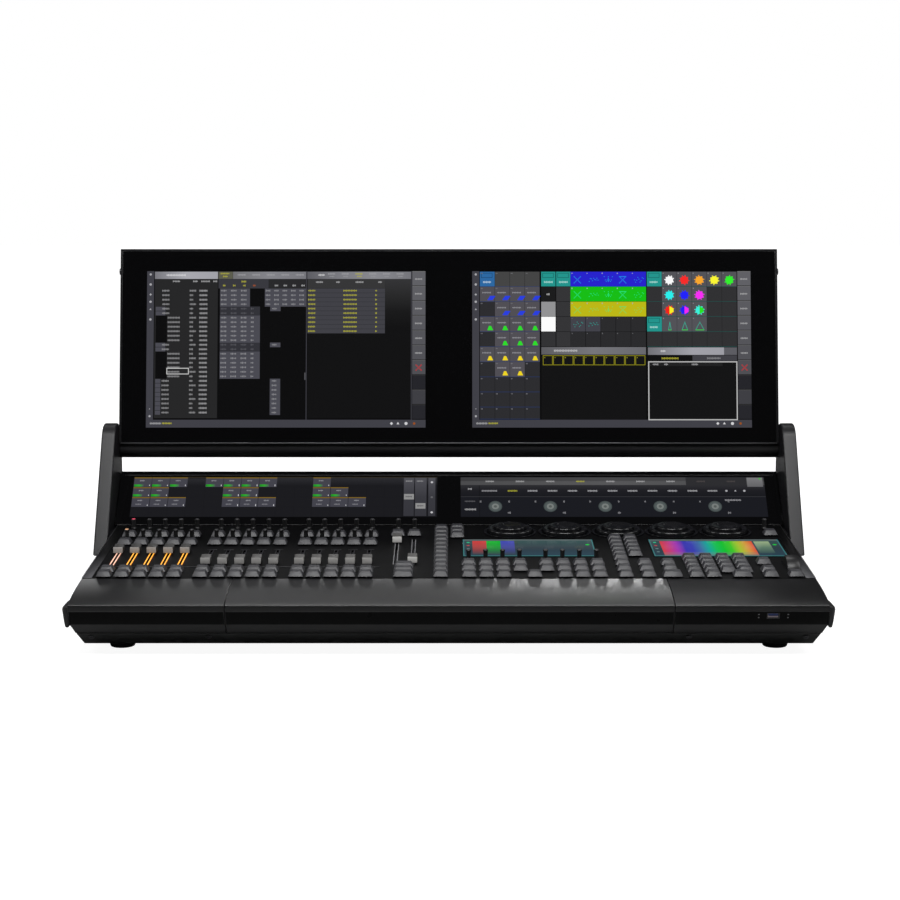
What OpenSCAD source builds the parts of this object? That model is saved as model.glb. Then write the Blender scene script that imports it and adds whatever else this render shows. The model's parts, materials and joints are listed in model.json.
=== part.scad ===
// Lighting control desk: a wide base with a sloping control panel, a strip of
// letterbox displays, a keyboard drawer behind the armrest and a tilting monitor wing.
// Origin: centre of the footprint on the surface it stands on. +Y is the rear.

/* [Body] */
// Width of the base between its side faces
body_w = 804; // [780:1:830]
// Overall depth from the armrest nose to the rear wall
depth = 540; // [520:1:580]
// Height of the feet
foot_h = 9.6; // [8:0.2:12]
// Sheet thickness of the casings
wall_t = 3; // [2:0.5:4]

/* [Armrest] */
// Height of the armrest nose above the table
nose_z = 59.6; // [55:0.2:65]
// Depth of the armrest, from its nose to the control panel
armrest_d = 83.3; // [75:0.1:90]
// Height of the rear edge of the armrest
armrest_z = 70.8; // [68:0.1:74]
// Left seam of the keyboard drawer
seam_left = -236.5; // [-250:0.5:-230]
// Right seam of the keyboard drawer
seam_right = 238.7; // [232:0.1:250]

/* [Control panel] */
// Length of the panel along its slope
panel_l = 237.9; // [236:0.1:242]
// Slope of the panel
panel_slope = 4; // [3:0.5:5]
// Thickness of the panel plate
panel_t = 2; // [1.5:0.5:2.5]

/* [Letterbox] */
// Length of the letterbox glass along its slope
letterbox_l = 82.3; // [80:0.1:86]
// Slope of the letterbox glass
letterbox_slope = 44; // [40:1:48]

/* [Monitor wing] */
// Height of the monitor glass along its lean
glass_h = 239.5; // [230:0.5:240]
// Lean of the glass behind the vertical
wing_lean = 11.3; // [8:0.1:15]
// Radius of the hinge tube
tube_r = 13; // [9:0.1:13]
// Depth of the housing behind the glass
housing_d = 27; // [24:1:32]

/* [Controls] */
// Travel of an executor fader
fader_travel = 60; // [50:1:60]
// Travel of a master fader
master_travel = 100; // [80:1:100]
// Width of a key cap at its foot
key_w = 16.4; // [14:0.2:17]
// Height of a key cap above its gap
key_h = 5; // [5:0.5:8]
// Gap under a key cap, which is a little more than its travel
key_gap = 1.8; // [1.8:0.1:2.2]
// Radius of an encoder's outer ring
ring_r = 27.5; // [26:0.5:27.5]
// Radius of the level wheel
wheel_r = 21; // [18:0.5:21]

/* [Hidden] */
$fn = 48;
eps = 0.01;
half_w = body_w / 2;
front_y = -depth / 2;
rear_y = depth / 2;
band_z = 36.7;              // top of the front chamfer
seam_z = 24;                // seam between the casing and the base pan
clear = 0.05;               // radial clearance of a shaft in its bore
gap = 0.4;                  // gap at a seam between casings
panel_y = front_y + armrest_d;
letterbox_y = panel_y + panel_l * cos(panel_slope);
letterbox_z = armrest_z + panel_l * sin(panel_slope);
top_y = letterbox_y + letterbox_l * cos(letterbox_slope);
top_z = letterbox_z + letterbox_l * sin(letterbox_slope);
rear_top_z = 118;           // height of the rear cover at the back
pivot_y = top_y + 4.3;
pivot_z = top_z + 29.8;
glass_y = -16.2;            // face of the glass in front of the hinge axis
glass_z = 3;                // foot of the glass above the hinge axis
wing_half = 406.8;          // half width of the monitor housing and the hinge tube
glass_half = 404.6;
glass_t = 3;
arm_in = 407.2;
arm_out = 424;
arm_r = 26;
arm_lean = 60;              // elevation of an arm
arm_z = 59;                 // underside of an arm
cheek_w = 406.8;            // half width of the casing beside the letterbox
cheek_z = 92;               // height from which the casing has that width
pin_r = 5;                  // pins of the hinge tube

// Places of the controls on the panel: x across, s along the slope
exec_x = [for (g = [0:2]) for (i = [-2:2]) -340.5 + 105.3 * g + 19.1 * i];
exec_rows = [8.6, 27.6, 147, 183];
knob_rows = [165, 215];
fader_s = 54;               // lowest place of an executor fader
exec_pos = [54, 8, 8];      // rest place of the faders of each group
master_x = [-60.5, -41];
master_s = 62;              // lowest place of a master fader
master_pos = [94, 4];
xkey_x = [for (b = [22.4, 109.3]) for (i = [0:3]) b + 19.15 * i];
front_rows = [8.6, 33, 56];
side_rows = [8.6, 33, 56, 79, 96, 113, 130, 147, 164];
number_x = [272.4, 291.1, 309.8, 328.5];
number_rows = [8.6, 27, 44, 61, 78];
encoder_x = [73.2, 138.7, 202.3, 266.2, 330.5];
encoder_s = 203;
display_x = [92.5, 310.8];
display_s = 128;
display_w = 153;
display_l = 76;
wheel_x = 383.5;
wheel_s = 50;
wheel_h = -8.5;             // axis of the wheel under the panel face
exec_keys = concat([for (x = exec_x) for (s = exec_rows) [x, s, key_w]],
                   [for (x = master_x) [x, 188, key_w]],
                   [for (s = [8.6, 26.3, 44]) [-50.4, s, 22]]);
command_keys = concat(
    [for (k = [0:11]) [-9, 8.6 + 18.4 * k, key_w]],
    [for (k = [0:2]) [10, 180 + 17 * k, key_w]],
    [for (i = [0:7]) for (s = front_rows)
        if (!(s == front_rows[0] && (i == 3 || i == 4))) [xkey_x[i], s, key_w]],
    [[94.6, front_rows[0], key_w]],
    [for (s = side_rows) [195, s, key_w]],
    [for (k = [0:4]) [213, 96 + 17 * k, key_w]],
    [for (s = front_rows) [220, s, key_w]],
    [for (s = front_rows) [246, s, s == front_rows[0] ? 22 : key_w]],
    [for (i = [0:3]) for (s = number_rows)
        if (!(i > 1 && s == number_rows[0])) [number_x[i], s, key_w]],
    [[322.8, number_rows[0], 21]],
    [for (s = [8.6, 27, 61]) [354, s, key_w]],
    [[381.4, 9.4, key_w], [382, 190, key_w]]);
knobs = concat([for (x = exec_x) for (s = knob_rows) [x, s]],
               [for (x = master_x) [x, knob_rows[1]]],
               [for (x = xkey_x) [x, 73]],
               [[379, knob_rows[1]]]);

// ---- Shapes used by several parts ----

// Extrudes a Y-Z outline from x0 to x1
module along_x(x0, x1, pts) {
    translate([x0, 0, 0]) rotate([90, 0, 90]) linear_extrude(x1 - x0) polygon(pts);
}

// Extrudes an X-Z outline from y0 to y1
module along_y(y0, y1, pts) {
    translate([0, y1, 0]) rotate([90, 0, 0]) linear_extrude(y1 - y0) polygon(pts);
}

// Box given by its lowest and highest corners
module block(a, b) { translate(a) cube(b - a); }

// Places children on the face of the control panel, x across and y up the slope
module on_panel() { translate([0, panel_y, armrest_z]) rotate([panel_slope, 0, 0]) children(); }

// Places children on the letterbox glass
module on_letterbox() {
    translate([0, letterbox_y, letterbox_z]) rotate([letterbox_slope, 0, 0]) children();
}

// Places children on the monitor wing, z up the glass from the hinge axis
module on_wing() { translate([0, pivot_y, pivot_z]) rotate([-wing_lean, 0, 0]) children(); }

// Shaft or bore along X
module rod(x0, x1, r) { translate([x0, 0, 0]) rotate([0, 90, 0]) cylinder(h = x1 - x0, r = r); }

function bezier(a, b, c, t) = (1 - t) * (1 - t) * a + 2 * t * (1 - t) * b + t * t * c;
// Closed outline of a sheet between an outer and an inner line
function sheet(outer, inner) = concat(outer, [for (i = [len(inner) - 1:-1:0]) inner[i]]);

// Front face with a lip over it, rounded nose and crowned top of the armrest
nose_r = 3;
lip_z = 53;
armrest_line = concat(
    [[front_y + 21, seam_z + gap], [front_y + 8.3, band_z],
     [front_y + 1.2, lip_z - 0.8], [front_y, lip_z]],
    [for (a = [180:-20:120])
        [front_y + nose_r + nose_r * cos(a), nose_z - nose_r + 0.4 + nose_r * sin(a)]],
    [for (t = [0.1:0.1:1])
        bezier([front_y + 1.5, nose_z], [front_y + 27.1, 66.9], [panel_y - gap, armrest_z], t)]);
armrest_inner = concat(
    [[front_y + 21 + wall_t * sqrt(2), seam_z + gap], [front_y + 8.3 + 1.3 * wall_t, band_z + 0.4 * wall_t],
     [front_y + 1.3 * wall_t, nose_z - 1.4 * wall_t]],
    [for (t = [0.1:0.1:1])
        bezier([front_y + 1.8 * wall_t, nose_z - wall_t], [front_y + 27.1, 66.9 - wall_t],
               [panel_y - gap, armrest_z - wall_t], t)]);
// Section across the body: chamfered under, and wider beside the letterbox
body_section = [
    [-half_w + 4, seam_z], [-half_w, band_z], [-half_w, cheek_z], [-cheek_w, cheek_z], [-cheek_w, 200],
    [cheek_w, 200], [cheek_w, cheek_z], [half_w, cheek_z], [half_w, band_z], [half_w - 4, seam_z]];

// ---- Fixed casing ----

module pan_form(inset) {
    floor_z = foot_h + inset;
    intersection() {
        along_x(-half_w, half_w, [
            [front_y + 21.4 + inset, seam_z], [front_y + 35.4 + inset, floor_z],
            [rear_y - 14 - inset, floor_z], [rear_y - 4 - inset, seam_z]]);
        along_y(front_y, rear_y, [
            [-half_w + 4.4 + inset, seam_z], [-half_w + 10.5 + inset, floor_z],
            [half_w - 10.5 - inset, floor_z], [half_w - 4.4 - inset, seam_z]]);
    }
}

module base_pan() {
    color("#151516") difference() {
        pan_form(0);
        translate([0, 0, eps]) pan_form(2);
    }
}

// One side of the casing, chamfered under, below the edge of the top panels
module side_wall(side) {
    drop = panel_t + 0.2;
    intersection() {
        along_y(panel_y, rear_y - wall_t - 0.5, [
            [side * cheek_w, 200], [side * cheek_w, cheek_z], [side * half_w, cheek_z],
            [side * half_w, band_z], [side * (half_w - 4), seam_z + gap],
            [side * (half_w - 4 - wall_t), seam_z + gap], [side * (half_w - wall_t), band_z + 1],
            [side * (half_w - wall_t), 200]]);
        along_x(-cheek_w, cheek_w, [
            [panel_y, seam_z], [panel_y, armrest_z - drop], [letterbox_y + 3.4, letterbox_z - drop],
            [top_y + 2, top_z - 6], [rear_y - 14, rear_top_z - 6], [rear_y - wall_t - 0.5, rear_top_z - 16],
            [rear_y - wall_t - 0.5, seam_z]]);
    }
}

module case_shell() {
    color("#1b1b1d") {
        side_wall(-1);
        side_wall(1);
        // cross bar that ties the sides behind the drawer
        block([-half_w + wall_t - 1, -20, 30], [half_w - wall_t + 1, -16, 48]);
    }
}

module rear_cover() {
    outer = [[top_y + 2.5, top_z - 2], [rear_y - 10, rear_top_z],
             [rear_y - 3, rear_top_z - 3], [rear_y, rear_top_z - 10], [rear_y, seam_z + gap]];
    inner = [[top_y + 2.5, top_z - 2 - wall_t], [rear_y - 10 - wall_t / 3, rear_top_z - wall_t],
             [rear_y - wall_t, rear_top_z - 10 - wall_t / 3], [rear_y - wall_t, seam_z + gap]];
    color("#19191b") difference() {
        intersection() {
            along_x(-cheek_w, cheek_w, sheet(outer, inner));
            along_y(front_y, rear_y + 1, body_section);
        }
        // window for the connector panel
        block([-300, rear_y - 9, 40], [300, rear_y + 1, 98]);
        // vents
        for (i = [-9:9]) block([i * 32 - 11, 170, 100], [i * 32 + 11, 174, 150]);
    }
}

module connector_panel() {
    color("#262628") difference() {
        block([-306, rear_y - 8, 34], [306, rear_y - 6, 104]);
        for (i = [0:5]) translate([-255 + 36 * i, rear_y, 72]) rotate([90, 0, 0]) cylinder(h = 12, r = 12);
        for (x = [0, 24]) block([x - 8, rear_y - 12, 64], [x + 8, rear_y, 79]);
        block([216, rear_y - 12, 58], [246, rear_y, 82]);
    }
}

// Five-pin socket, its holes too fine for anything but its plug
module round_socket() {
    rotate([-90, 0, 0]) difference() {
        union() {
            cylinder(h = 15, r = 12 - clear);
            translate([0, 0, 15]) cylinder(h = 1.6, r = 13.5);
        }
        for (a = [0:60:240]) rotate(a) translate([6, 0, 6]) cylinder(h = 20, r = 1.2);
    }
}

module sockets() {
    color("#0c0c0d") {
        for (i = [0:5]) translate([-255 + 36 * i, rear_y - 21, 72]) round_socket();
        // network sockets
        for (x = [0, 24]) difference() {
            block([x - 7.9, rear_y - 24, 64.1], [x + 7.9, rear_y - 5, 78.9]);
            block([x - 6, rear_y - 18, 67], [x + 6, rear_y, 76]);
        }
        // power inlet with three blades
        difference() {
            block([216.1, rear_y - 28, 58.1], [245.9, rear_y - 5, 81.9]);
            block([219, rear_y - 22, 61], [243, rear_y, 79]);
        }
        for (p = [[225, 66], [237, 66], [231, 72]])
            block([p[0] - 2, rear_y - 22 - eps, p[1] - 1], [p[0] + 2, rear_y - 9, p[1] + 1]);
    }
    // plug-in socket in the right armrest face
    color("silver") difference() {
        block([336.5, front_y + 5.6, 44], [349.5, front_y + 22, 50]);
        block([337.4, front_y + 4, 44.9], [348.6, front_y + 20, 49.1]);
    }
    color("#30507a") block([338.4, front_y + 6.5, 46.4], [347.6, front_y + 22, 47.6]);
}

// Armrest skin with an end wall at the outer side, and the socket window on the right
module armrest(x0, x1) {
    closed = concat(armrest_line, [[panel_y - gap, seam_z + gap]]);
    outer = x0 < 0 ? x0 : x1 - wall_t;
    intersection() {
        union() {
            along_x(x0, x1, sheet(armrest_line, armrest_inner));
            along_x(outer, outer + wall_t, closed);
        }
        along_y(front_y, panel_y, body_section);
    }
}

module left_armrest() { color("#232325") armrest(-half_w, seam_left - gap); }

module right_armrest() {
    color("#232325") difference() {
        armrest(seam_right + gap, half_w);
        block([336.3, front_y - 1, 43.8], [349.7, front_y + 16, 50.2]);
    }
}

// Bumpers along the sides, widest at the front and at their upper edge
module side_rails() {
    low = band_z - 3;
    high = 56.5;
    color("#0e0e0f") for (side = [-1, 1]) intersection() {
        along_y(front_y, rear_y, [
            [side * half_w, low], [side * (half_w + 4), low], [side * (half_w + 8), high - 4],
            [side * (half_w + 6.5), high], [side * half_w, high]]);
        translate([0, 0, low]) linear_extrude(high - low) polygon([
            [side * half_w, front_y + 5], [side * (half_w + 5), front_y + 6],
            [side * (half_w + 8), front_y + 11], [side * (half_w + 8), front_y + 22],
            [side * (half_w + 4), front_y + 60], [side * (half_w + 4), rear_y - 16],
            [side * half_w, rear_y - 12]]);
    }
}

module feet() {
    color("#0a0a0a") for (x = [-355.5, 355.5]) for (y = [front_y + 66, rear_y - 66])
        translate([x, y, 0]) cylinder(h = foot_h, r1 = 13.2, r2 = 15.4);
}

// Pan-head screw with a hexagon socket
module screw() {
    difference() {
        cylinder(h = 1.4, r = 3.2);
        translate([0, 0, 0.7]) cylinder(h = 2, r = 1.3, $fn = 6);
    }
}

// Screws of the pan's front chamfer and of the rear cover
module case_screws() {
    color("#3a3a3c") {
        for (x = [-382, -257, 257, 382]) translate([x, front_y + 25.8, 19.6])
            rotate([135, 0, 0]) screw();
        for (x = [-380, -330, 330, 380]) for (z = [46, 96])
            translate([x, rear_y - 1.4, z]) rotate([-90, 0, 0]) screw();
    }
}

// ---- Control panel ----

module panel_cutouts() {
    for (k = concat(exec_keys, command_keys)) translate([k[0] - 3.2, k[1] - 3.2, -5]) cube([6.4, 6.4, 10]);
    for (k = knobs) translate([k[0], k[1], -5]) cylinder(h = 10, r = 1.5 + clear);
    for (x = exec_x) block([x - 1.3, fader_s - 4, -5], [x + 1.3, fader_s + fader_travel + 4, 5]);
    for (x = master_x) block([x - 1.3, master_s - 4, -5], [x + 1.3, master_s + master_travel + 4, 5]);
    for (x = encoder_x) translate([x, encoder_s, -5]) cylinder(h = 10, r = 7 + clear);
    for (x = display_x) block([x - display_w / 2 - 0.2, display_s - display_l / 2 - 0.2, -5],
                              [x + display_w / 2 + 0.2, display_s + display_l / 2 + 0.2, 5]);
    block([wheel_x - 7.6, wheel_s - wheel_r + 0.4, -5], [wheel_x + 7.6, wheel_s + wheel_r - 0.4, 5]);
}

module control_panel() {
    color("#111112") on_panel() difference() {
        block([-half_w, gap, -panel_t], [half_w, panel_l - gap, 0]);
        panel_cutouts();
    }
}

// Tracks and bodies under the panel: faders, encoders and the wheel's bracket
module fader_module(x, s0, travel) {
    difference() {
        block([x - 6.5, s0 - 8, -14], [x + 6.5, s0 + travel + 8, -panel_t - 0.1]);
        block([x - 1.4, s0 - 4, -11], [x + 1.4, s0 + travel + 4, 0]);
    }
}

module panel_modules() {
    color("#55585c") on_panel() {
        for (x = exec_x) fader_module(x, fader_s, fader_travel);
        for (x = master_x) fader_module(x, master_s, master_travel);
        for (x = encoder_x) block([x - 10, encoder_s - 10, -26], [x + 10, encoder_s + 10, -16]);
        for (side = [-1, 1]) difference() {
            block([wheel_x + side * 9.5 - 1, wheel_s - 5, -14],
                  [wheel_x + side * 9.5 + 1, wheel_s + 5, -panel_t - 0.1]);
            translate([0, wheel_s, wheel_h]) rod(wheel_x - 12, wheel_x + 12, 2 + clear);
        }
    }
}

module circuit_boards() {
    color("#1f5a38") {
        on_panel() block([-385, 6, -29.6], [370, 232, -28]);
        block([-180, 10, 26], [190, 140, 27.6]);
    }
    color("#8d9094") block([-60, 40, 27.6], [20, 110, 47]);
}

module power_supply() {
    color("#9a9da0") difference() {
        block([-378, 140, 13], [-190, 236, 60]);
        for (i = [0:12]) block([-366 + 13 * i, 135, 22], [-361 + 13 * i, 145, 50]);
    }
}

module encoder_bezels() {
    color("#0b0b0c") on_panel() for (x = encoder_x) translate([x, encoder_s, 0.02]) difference() {
        cylinder(h = 1.3, r = 31.5, $fn = 96);
        translate([0, 0, -1]) cylinder(h = 4, r = ring_r + 0.6, $fn = 96);
    }
}

module panel_displays() {
    color("#0a0c10") {
        on_panel() for (x = display_x)
            block([x - display_w / 2, display_s - display_l / 2, -6],
                  [x + display_w / 2, display_s + display_l / 2, 0.8]);
        on_letterbox() for (side = [-1, 1])
            block([side * 201.8 - 187.5, 12.2, -glass_t - 5], [side * 201.8 + 187.5, 73.3, -glass_t]);
    }
}

// ---- Letterbox ----

module letterbox_glass() {
    color("#050506") on_letterbox() block([-cheek_w + 1, gap, -glass_t], [cheek_w - 1, letterbox_l, 0]);
}

module letterbox_housing() {
    color("#161618") difference() {
        on_letterbox() block([-half_w + wall_t, 2, -12], [half_w - wall_t, letterbox_l - 3, -glass_t - 0.02]);
        on_letterbox() for (side = [-1, 1])
            block([side * 201.8 - 188, 11.7, -14], [side * 201.8 + 188, 73.8, 0]);
    }
}

// ---- Arms ----

// Side outline of an arm: round head, leaning front, upright rear and a level foot
module arm_outline() {
    head = [pivot_y - 15, pivot_z + 5.5];
    run = [cos(arm_lean), sin(arm_lean)];
    side_n = [-sin(arm_lean), cos(arm_lean)];
    front = head + arm_r * side_n;
    rear_edge = head[0] + arm_r;
    translate(head) circle(r = arm_r);
    foot = front - run * (front[1] - arm_z) / run[1];
    polygon([front, foot, [rear_edge, arm_z], [rear_edge, head[1]], head]);
}

module arm(side) {
    place = side > 0 ? 0 : 1;
    mirror([place, 0, 0]) difference() {
        union() {
            translate([arm_in, 0, 0]) rotate([90, 0, 90]) linear_extrude(arm_out - arm_in) arm_outline();
            // pad that meets the side of the casing
            block([half_w, 20, arm_z], [arm_in + eps, 110, 82]);
        }
        translate([0, pivot_y, pivot_z]) rod(arm_in - 1, arm_out - 4, pin_r + clear);
    }
}

module left_arm() { color("#39393c") arm(-1); }
module right_arm() { color("#39393c") arm(1); }

// ---- Monitor wing ----

module monitor_housing() {
    z0 = glass_z;
    z1 = glass_z + glass_h;
    back = glass_y + glass_t + housing_d;
    color("#2a2a2c") on_wing() difference() {
        along_x(-wing_half, wing_half, [
            [glass_y + 0.4, z0 - 0.6], [glass_y + 0.4, z1 + 2.4], [back - 8, z1 + 2.4],
            [back, z1 - 24], [back, z0 + 18], [back - 10, z0 - 0.6]]);
        // recess for the glass, then the hollow behind it
        block([-glass_half, glass_y - 1, z0 - 2], [glass_half, glass_y + glass_t, z1]);
        block([-400, glass_y - 1, z0 + 12], [400, back - 2.5, z1 - 22]);
        rod(-500, 500, tube_r);
    }
}

module monitor_glass() {
    color("#040405") on_wing()
        block([-glass_half + 0.1, glass_y, glass_z],
              [glass_half - 0.1, glass_y + glass_t - 0.02, glass_z + glass_h - 0.1]);
}

module monitor_displays() {
    color("#0a0c10") on_wing() for (side = [-1, 1])
        block([side * 201.2 - 176, glass_y + glass_t, glass_z + 17],
              [side * 201.2 + 176, glass_y + glass_t + 9, glass_z + 217]);
}

module hinge_tube() {
    color("#101011") translate([0, pivot_y, pivot_z]) {
        difference() {
            rod(-wing_half, wing_half, tube_r - clear);
            rod(-380, 380, 9);
        }
        for (side = [-1, 1]) mirror([side < 0 ? 1 : 0, 0, 0]) rod(wing_half, arm_out - 5, pin_r);
    }
}

module latch_pins() {
    color("#3a3a3c") on_wing() for (side = [-1, 1]) mirror([side < 0 ? 1 : 0, 0, 0])
        translate([0, glass_y + 14, glass_z + glass_h - 24]) rod(wing_half, wing_half + 3, 4);
}

// ---- Keyboard drawer ----

module drawer_front() {
    color("#232325") along_x(seam_left, seam_right, sheet(armrest_line, armrest_inner));
}

module keyboard_tray() {
    color("#1a1a1c") {
        block([seam_left + 5, front_y + 24.5, 26], [seam_right - 5, -60, 28]);
        for (x = [seam_left + 5, seam_right - 7]) block([x, panel_y + 3, 28], [x + 2, -60, 36]);
    }
}

module keyboard_keys() {
    pitch = 19.05;
    x0 = -218;
    y0 = panel_y + 8;
    color("#2c2c2e") {
        for (row = [0:5]) for (i = [0:22])
            if (row > 0 || i < 3 || i > 9)
                block([x0 + pitch * i, y0 + 18.5 * row, 28],
                      [x0 + 16.5 + pitch * i, y0 + 16 + 18.5 * row, 37]);
        block([x0 + pitch * 3, y0, 28], [x0 + 16.5 + pitch * 9, y0 + 16, 37]);
    }
}

module drawer_runners() {
    color("#8d9094") for (x = [seam_left + 1, seam_right - 4])
        block([x, panel_y, 24.6], [x + 3, -30, 40]);
}

// ---- Keys, knobs, faders and encoders ----

// Tapered key cap with a stem
module key(x, s, w) {
    taper = 2.6;
    d = 14.5;
    top = key_gap + key_h;
    translate([x, s, 0]) {
        intersection() {
            along_y(-d / 2, d / 2,
                    [[-w / 2, key_gap], [-w / 2 + taper, top], [w / 2 - taper, top], [w / 2, key_gap]]);
            along_x(-w / 2, w / 2,
                    [[-d / 2, key_gap], [-d / 2 + 3.6, top - 0.6], [d / 2 - 1.6, top], [d / 2, key_gap]]);
        }
        block([-2.5, -2.5, -8], [2.5, 2.5, key_gap + eps]);
    }
}

module executor_keys() { color("#4a4a4d") on_panel() for (k = exec_keys) key(k[0], k[1], k[2]); }
module command_keys() { color("#4a4a4d") on_panel() for (k = command_keys) key(k[0], k[1], k[2]); }

module small_knobs() {
    color("#1c1c1e") on_panel() for (k = knobs) translate([k[0], k[1], 0]) {
        translate([0, 0, key_gap]) cylinder(h = 11.6, r1 = 3, r2 = 2.9);
        translate([0, 0, -8]) cylinder(h = 8 + key_gap + eps, r = 1.5);
    }
}

// Fader cap with its lever, at its rest place
module fader(x, s) {
    on_panel() translate([x, s, 0]) {
        along_x(-5.5, 5.5, [[-8.5, 3], [-7, 9.2], [-1.8, 7.4], [0, 7.1], [1.8, 7.4], [7, 9.2], [8.5, 3]]);
        block([-0.7, -2.5, -9], [0.7, 2.5, 3 + eps]);
    }
}

module executor_fader(i) {
    color(i < 5 ? "#6d6c6a" : "#b4b1ab") fader(exec_x[i], fader_s + exec_pos[floor(i / 5)]);
}
module master_fader(i) { color("#b4b1ab") fader(master_x[i], master_s + master_pos[i]); }

module encoder_ring(i) {
    color("#1a1a1b") on_panel() translate([encoder_x[i], encoder_s, 0]) difference() {
        union() {
            translate([0, 0, 0.8]) cylinder(h = 5.2, r = ring_r, $fn = 96);
            translate([0, 0, -13]) cylinder(h = 14, r = 7);
        }
        translate([0, 0, 3]) cylinder(h = 10, r = 19.4);
        translate([0, 0, -20]) cylinder(h = 30, r = 5 + clear);
    }
}

module encoder_knob(i) {
    color("#202022") on_panel() translate([encoder_x[i], encoder_s, 0]) {
        translate([0, 0, 3.4]) cylinder(h = 5.6, r = 19);
        translate([0, 0, -15]) cylinder(h = 19, r = 5);
    }
}

module level_wheel() {
    color("#2a2a2c") on_panel() translate([0, wheel_s, wheel_h]) {
        rod(wheel_x - 7, wheel_x + 7, wheel_r);
        rod(wheel_x - 11, wheel_x + 11, 2);
    }
}

base_pan();
case_shell();
rear_cover();
connector_panel();
sockets();
left_armrest();
right_armrest();
control_panel();
letterbox_housing();
letterbox_glass();
panel_displays();
left_arm();
right_arm();
side_rails();
feet();
panel_modules();
circuit_boards();
power_supply();
encoder_bezels();
case_screws();
drawer_runners();
monitor_housing();
monitor_glass();
monitor_displays();
hinge_tube();
latch_pins();
drawer_front();
keyboard_tray();
keyboard_keys();
level_wheel();
executor_keys();
command_keys();
small_knobs();
for (i = [0:14]) executor_fader(i);
for (i = [0:1]) master_fader(i);
for (i = [0:4]) encoder_ring(i);
for (i = [0:4]) encoder_knob(i);
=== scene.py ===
import bpy
import bmesh
import json
import math
from mathutils import Matrix, Vector


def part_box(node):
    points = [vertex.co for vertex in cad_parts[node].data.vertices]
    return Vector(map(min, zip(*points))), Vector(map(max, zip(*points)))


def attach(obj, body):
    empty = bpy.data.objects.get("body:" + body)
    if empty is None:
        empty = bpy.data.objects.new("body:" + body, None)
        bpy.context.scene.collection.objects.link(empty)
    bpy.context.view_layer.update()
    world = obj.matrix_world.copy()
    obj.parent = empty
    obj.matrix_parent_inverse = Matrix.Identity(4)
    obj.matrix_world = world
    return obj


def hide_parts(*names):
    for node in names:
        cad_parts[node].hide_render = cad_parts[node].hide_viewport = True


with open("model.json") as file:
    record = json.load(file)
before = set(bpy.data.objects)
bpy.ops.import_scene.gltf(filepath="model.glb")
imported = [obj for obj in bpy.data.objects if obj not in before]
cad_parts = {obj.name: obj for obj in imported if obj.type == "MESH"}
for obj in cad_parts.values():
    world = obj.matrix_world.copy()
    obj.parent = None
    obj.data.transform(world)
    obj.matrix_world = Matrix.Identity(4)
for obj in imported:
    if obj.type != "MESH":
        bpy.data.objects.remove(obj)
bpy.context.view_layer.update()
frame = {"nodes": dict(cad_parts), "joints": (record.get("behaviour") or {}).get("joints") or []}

mm = 0.001
joints = {j["name"]: j for j in frame["joints"]}
scene = bpy.context.scene


# places taken from the frame

def boxFrame(xAxis, yAxis, zAxis, origin):
    m = Matrix.Identity(4)
    for i, axis in enumerate((xAxis, yAxis, zAxis)):
        m.col[i].xyz = axis
    m.col[3].xyz = origin
    return m


def panelFrame():
    # x across the desk, y up the slope, z out of the panel, from the panel's front edge
    up = Vector(joints["executor_slide_1"]["axis"]).normalized()
    out = Vector(joints["encoder_ring_turn_1"]["axis"]).normalized()
    onFace = Vector(joints["encoder_ring_turn_1"]["pos_m"])
    onFace.x = 0
    lowest = min((v.co - onFace).dot(up) for v in frame["nodes"]["control_panel"].data.vertices)
    return boxFrame(Vector((1, 0, 0)), up, out, onFace + up * lowest)


def faceFrame(node):
    # frame on a plate's largest face that looks to the front: z out of it, y up it, from its foot
    mesh = frame["nodes"][node].data
    front = [p for p in mesh.polygons if p.normal.y < -0.3]
    out = max(front, key=lambda p: p.area).normal.copy()
    out.x = 0
    out.normalize()
    across = Vector((1, 0, 0))
    up = out.cross(across)
    level = max(v.co.dot(out) for v in mesh.vertices)
    foot = min(v.co.dot(up) for v in mesh.vertices)
    return boxFrame(across, up, out, out * level + up * foot)


def solidsOf(node, place):
    # lowest and highest corner of each solid of a node, in the given frame, left to right
    bm = mergedCopy(node)
    bm.verts.ensure_lookup_table()
    inverse = place.inverted()
    seen, found = set(), []
    for start in bm.verts:
        if start.index in seen:
            continue
        stack, points = [start], []
        seen.add(start.index)
        while stack:
            v = stack.pop()
            points.append(inverse @ v.co)
            for e in v.link_edges:
                other = e.other_vert(v)
                if other.index not in seen:
                    seen.add(other.index)
                    stack.append(other)
        low = Vector([min(p[i] for p in points) for i in range(3)])
        high = Vector([max(p[i] for p in points) for i in range(3)])
        found.append((low, high))
    bm.free()
    return sorted(found, key=lambda b: (round(b[0].x, 4), round(b[0].y, 4)))


def mergedCopy(node):
    bm = bmesh.new()
    bm.from_mesh(frame["nodes"][node].data)
    bmesh.ops.remove_doubles(bm, verts=bm.verts, dist=1e-6)
    bmesh.ops.dissolve_limit(bm, angle_limit=math.radians(0.6), verts=bm.verts, edges=bm.edges)
    return bm


# shader groups and finishes

def newGroup(name, inputs, outputs):
    group = bpy.data.node_groups.new(name, "ShaderNodeTree")
    for label, kind, value in inputs:
        group.interface.new_socket(label, in_out="INPUT", socket_type=kind).default_value = value
    for label, kind in outputs:
        group.interface.new_socket(label, in_out="OUTPUT", socket_type=kind)
    return group, group.nodes.new("NodeGroupInput"), group.nodes.new("NodeGroupOutput")


def mathNode(tree, operation, a, b=None, c=None):
    node = tree.nodes.new("ShaderNodeMath")
    node.operation = operation
    for i, value in enumerate((a, b, c)):
        if value is None:
            continue
        if isinstance(value, (int, float)):
            node.inputs[i].default_value = value
        else:
            tree.links.new(value, node.inputs[i])
    return node.outputs[0]


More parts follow.
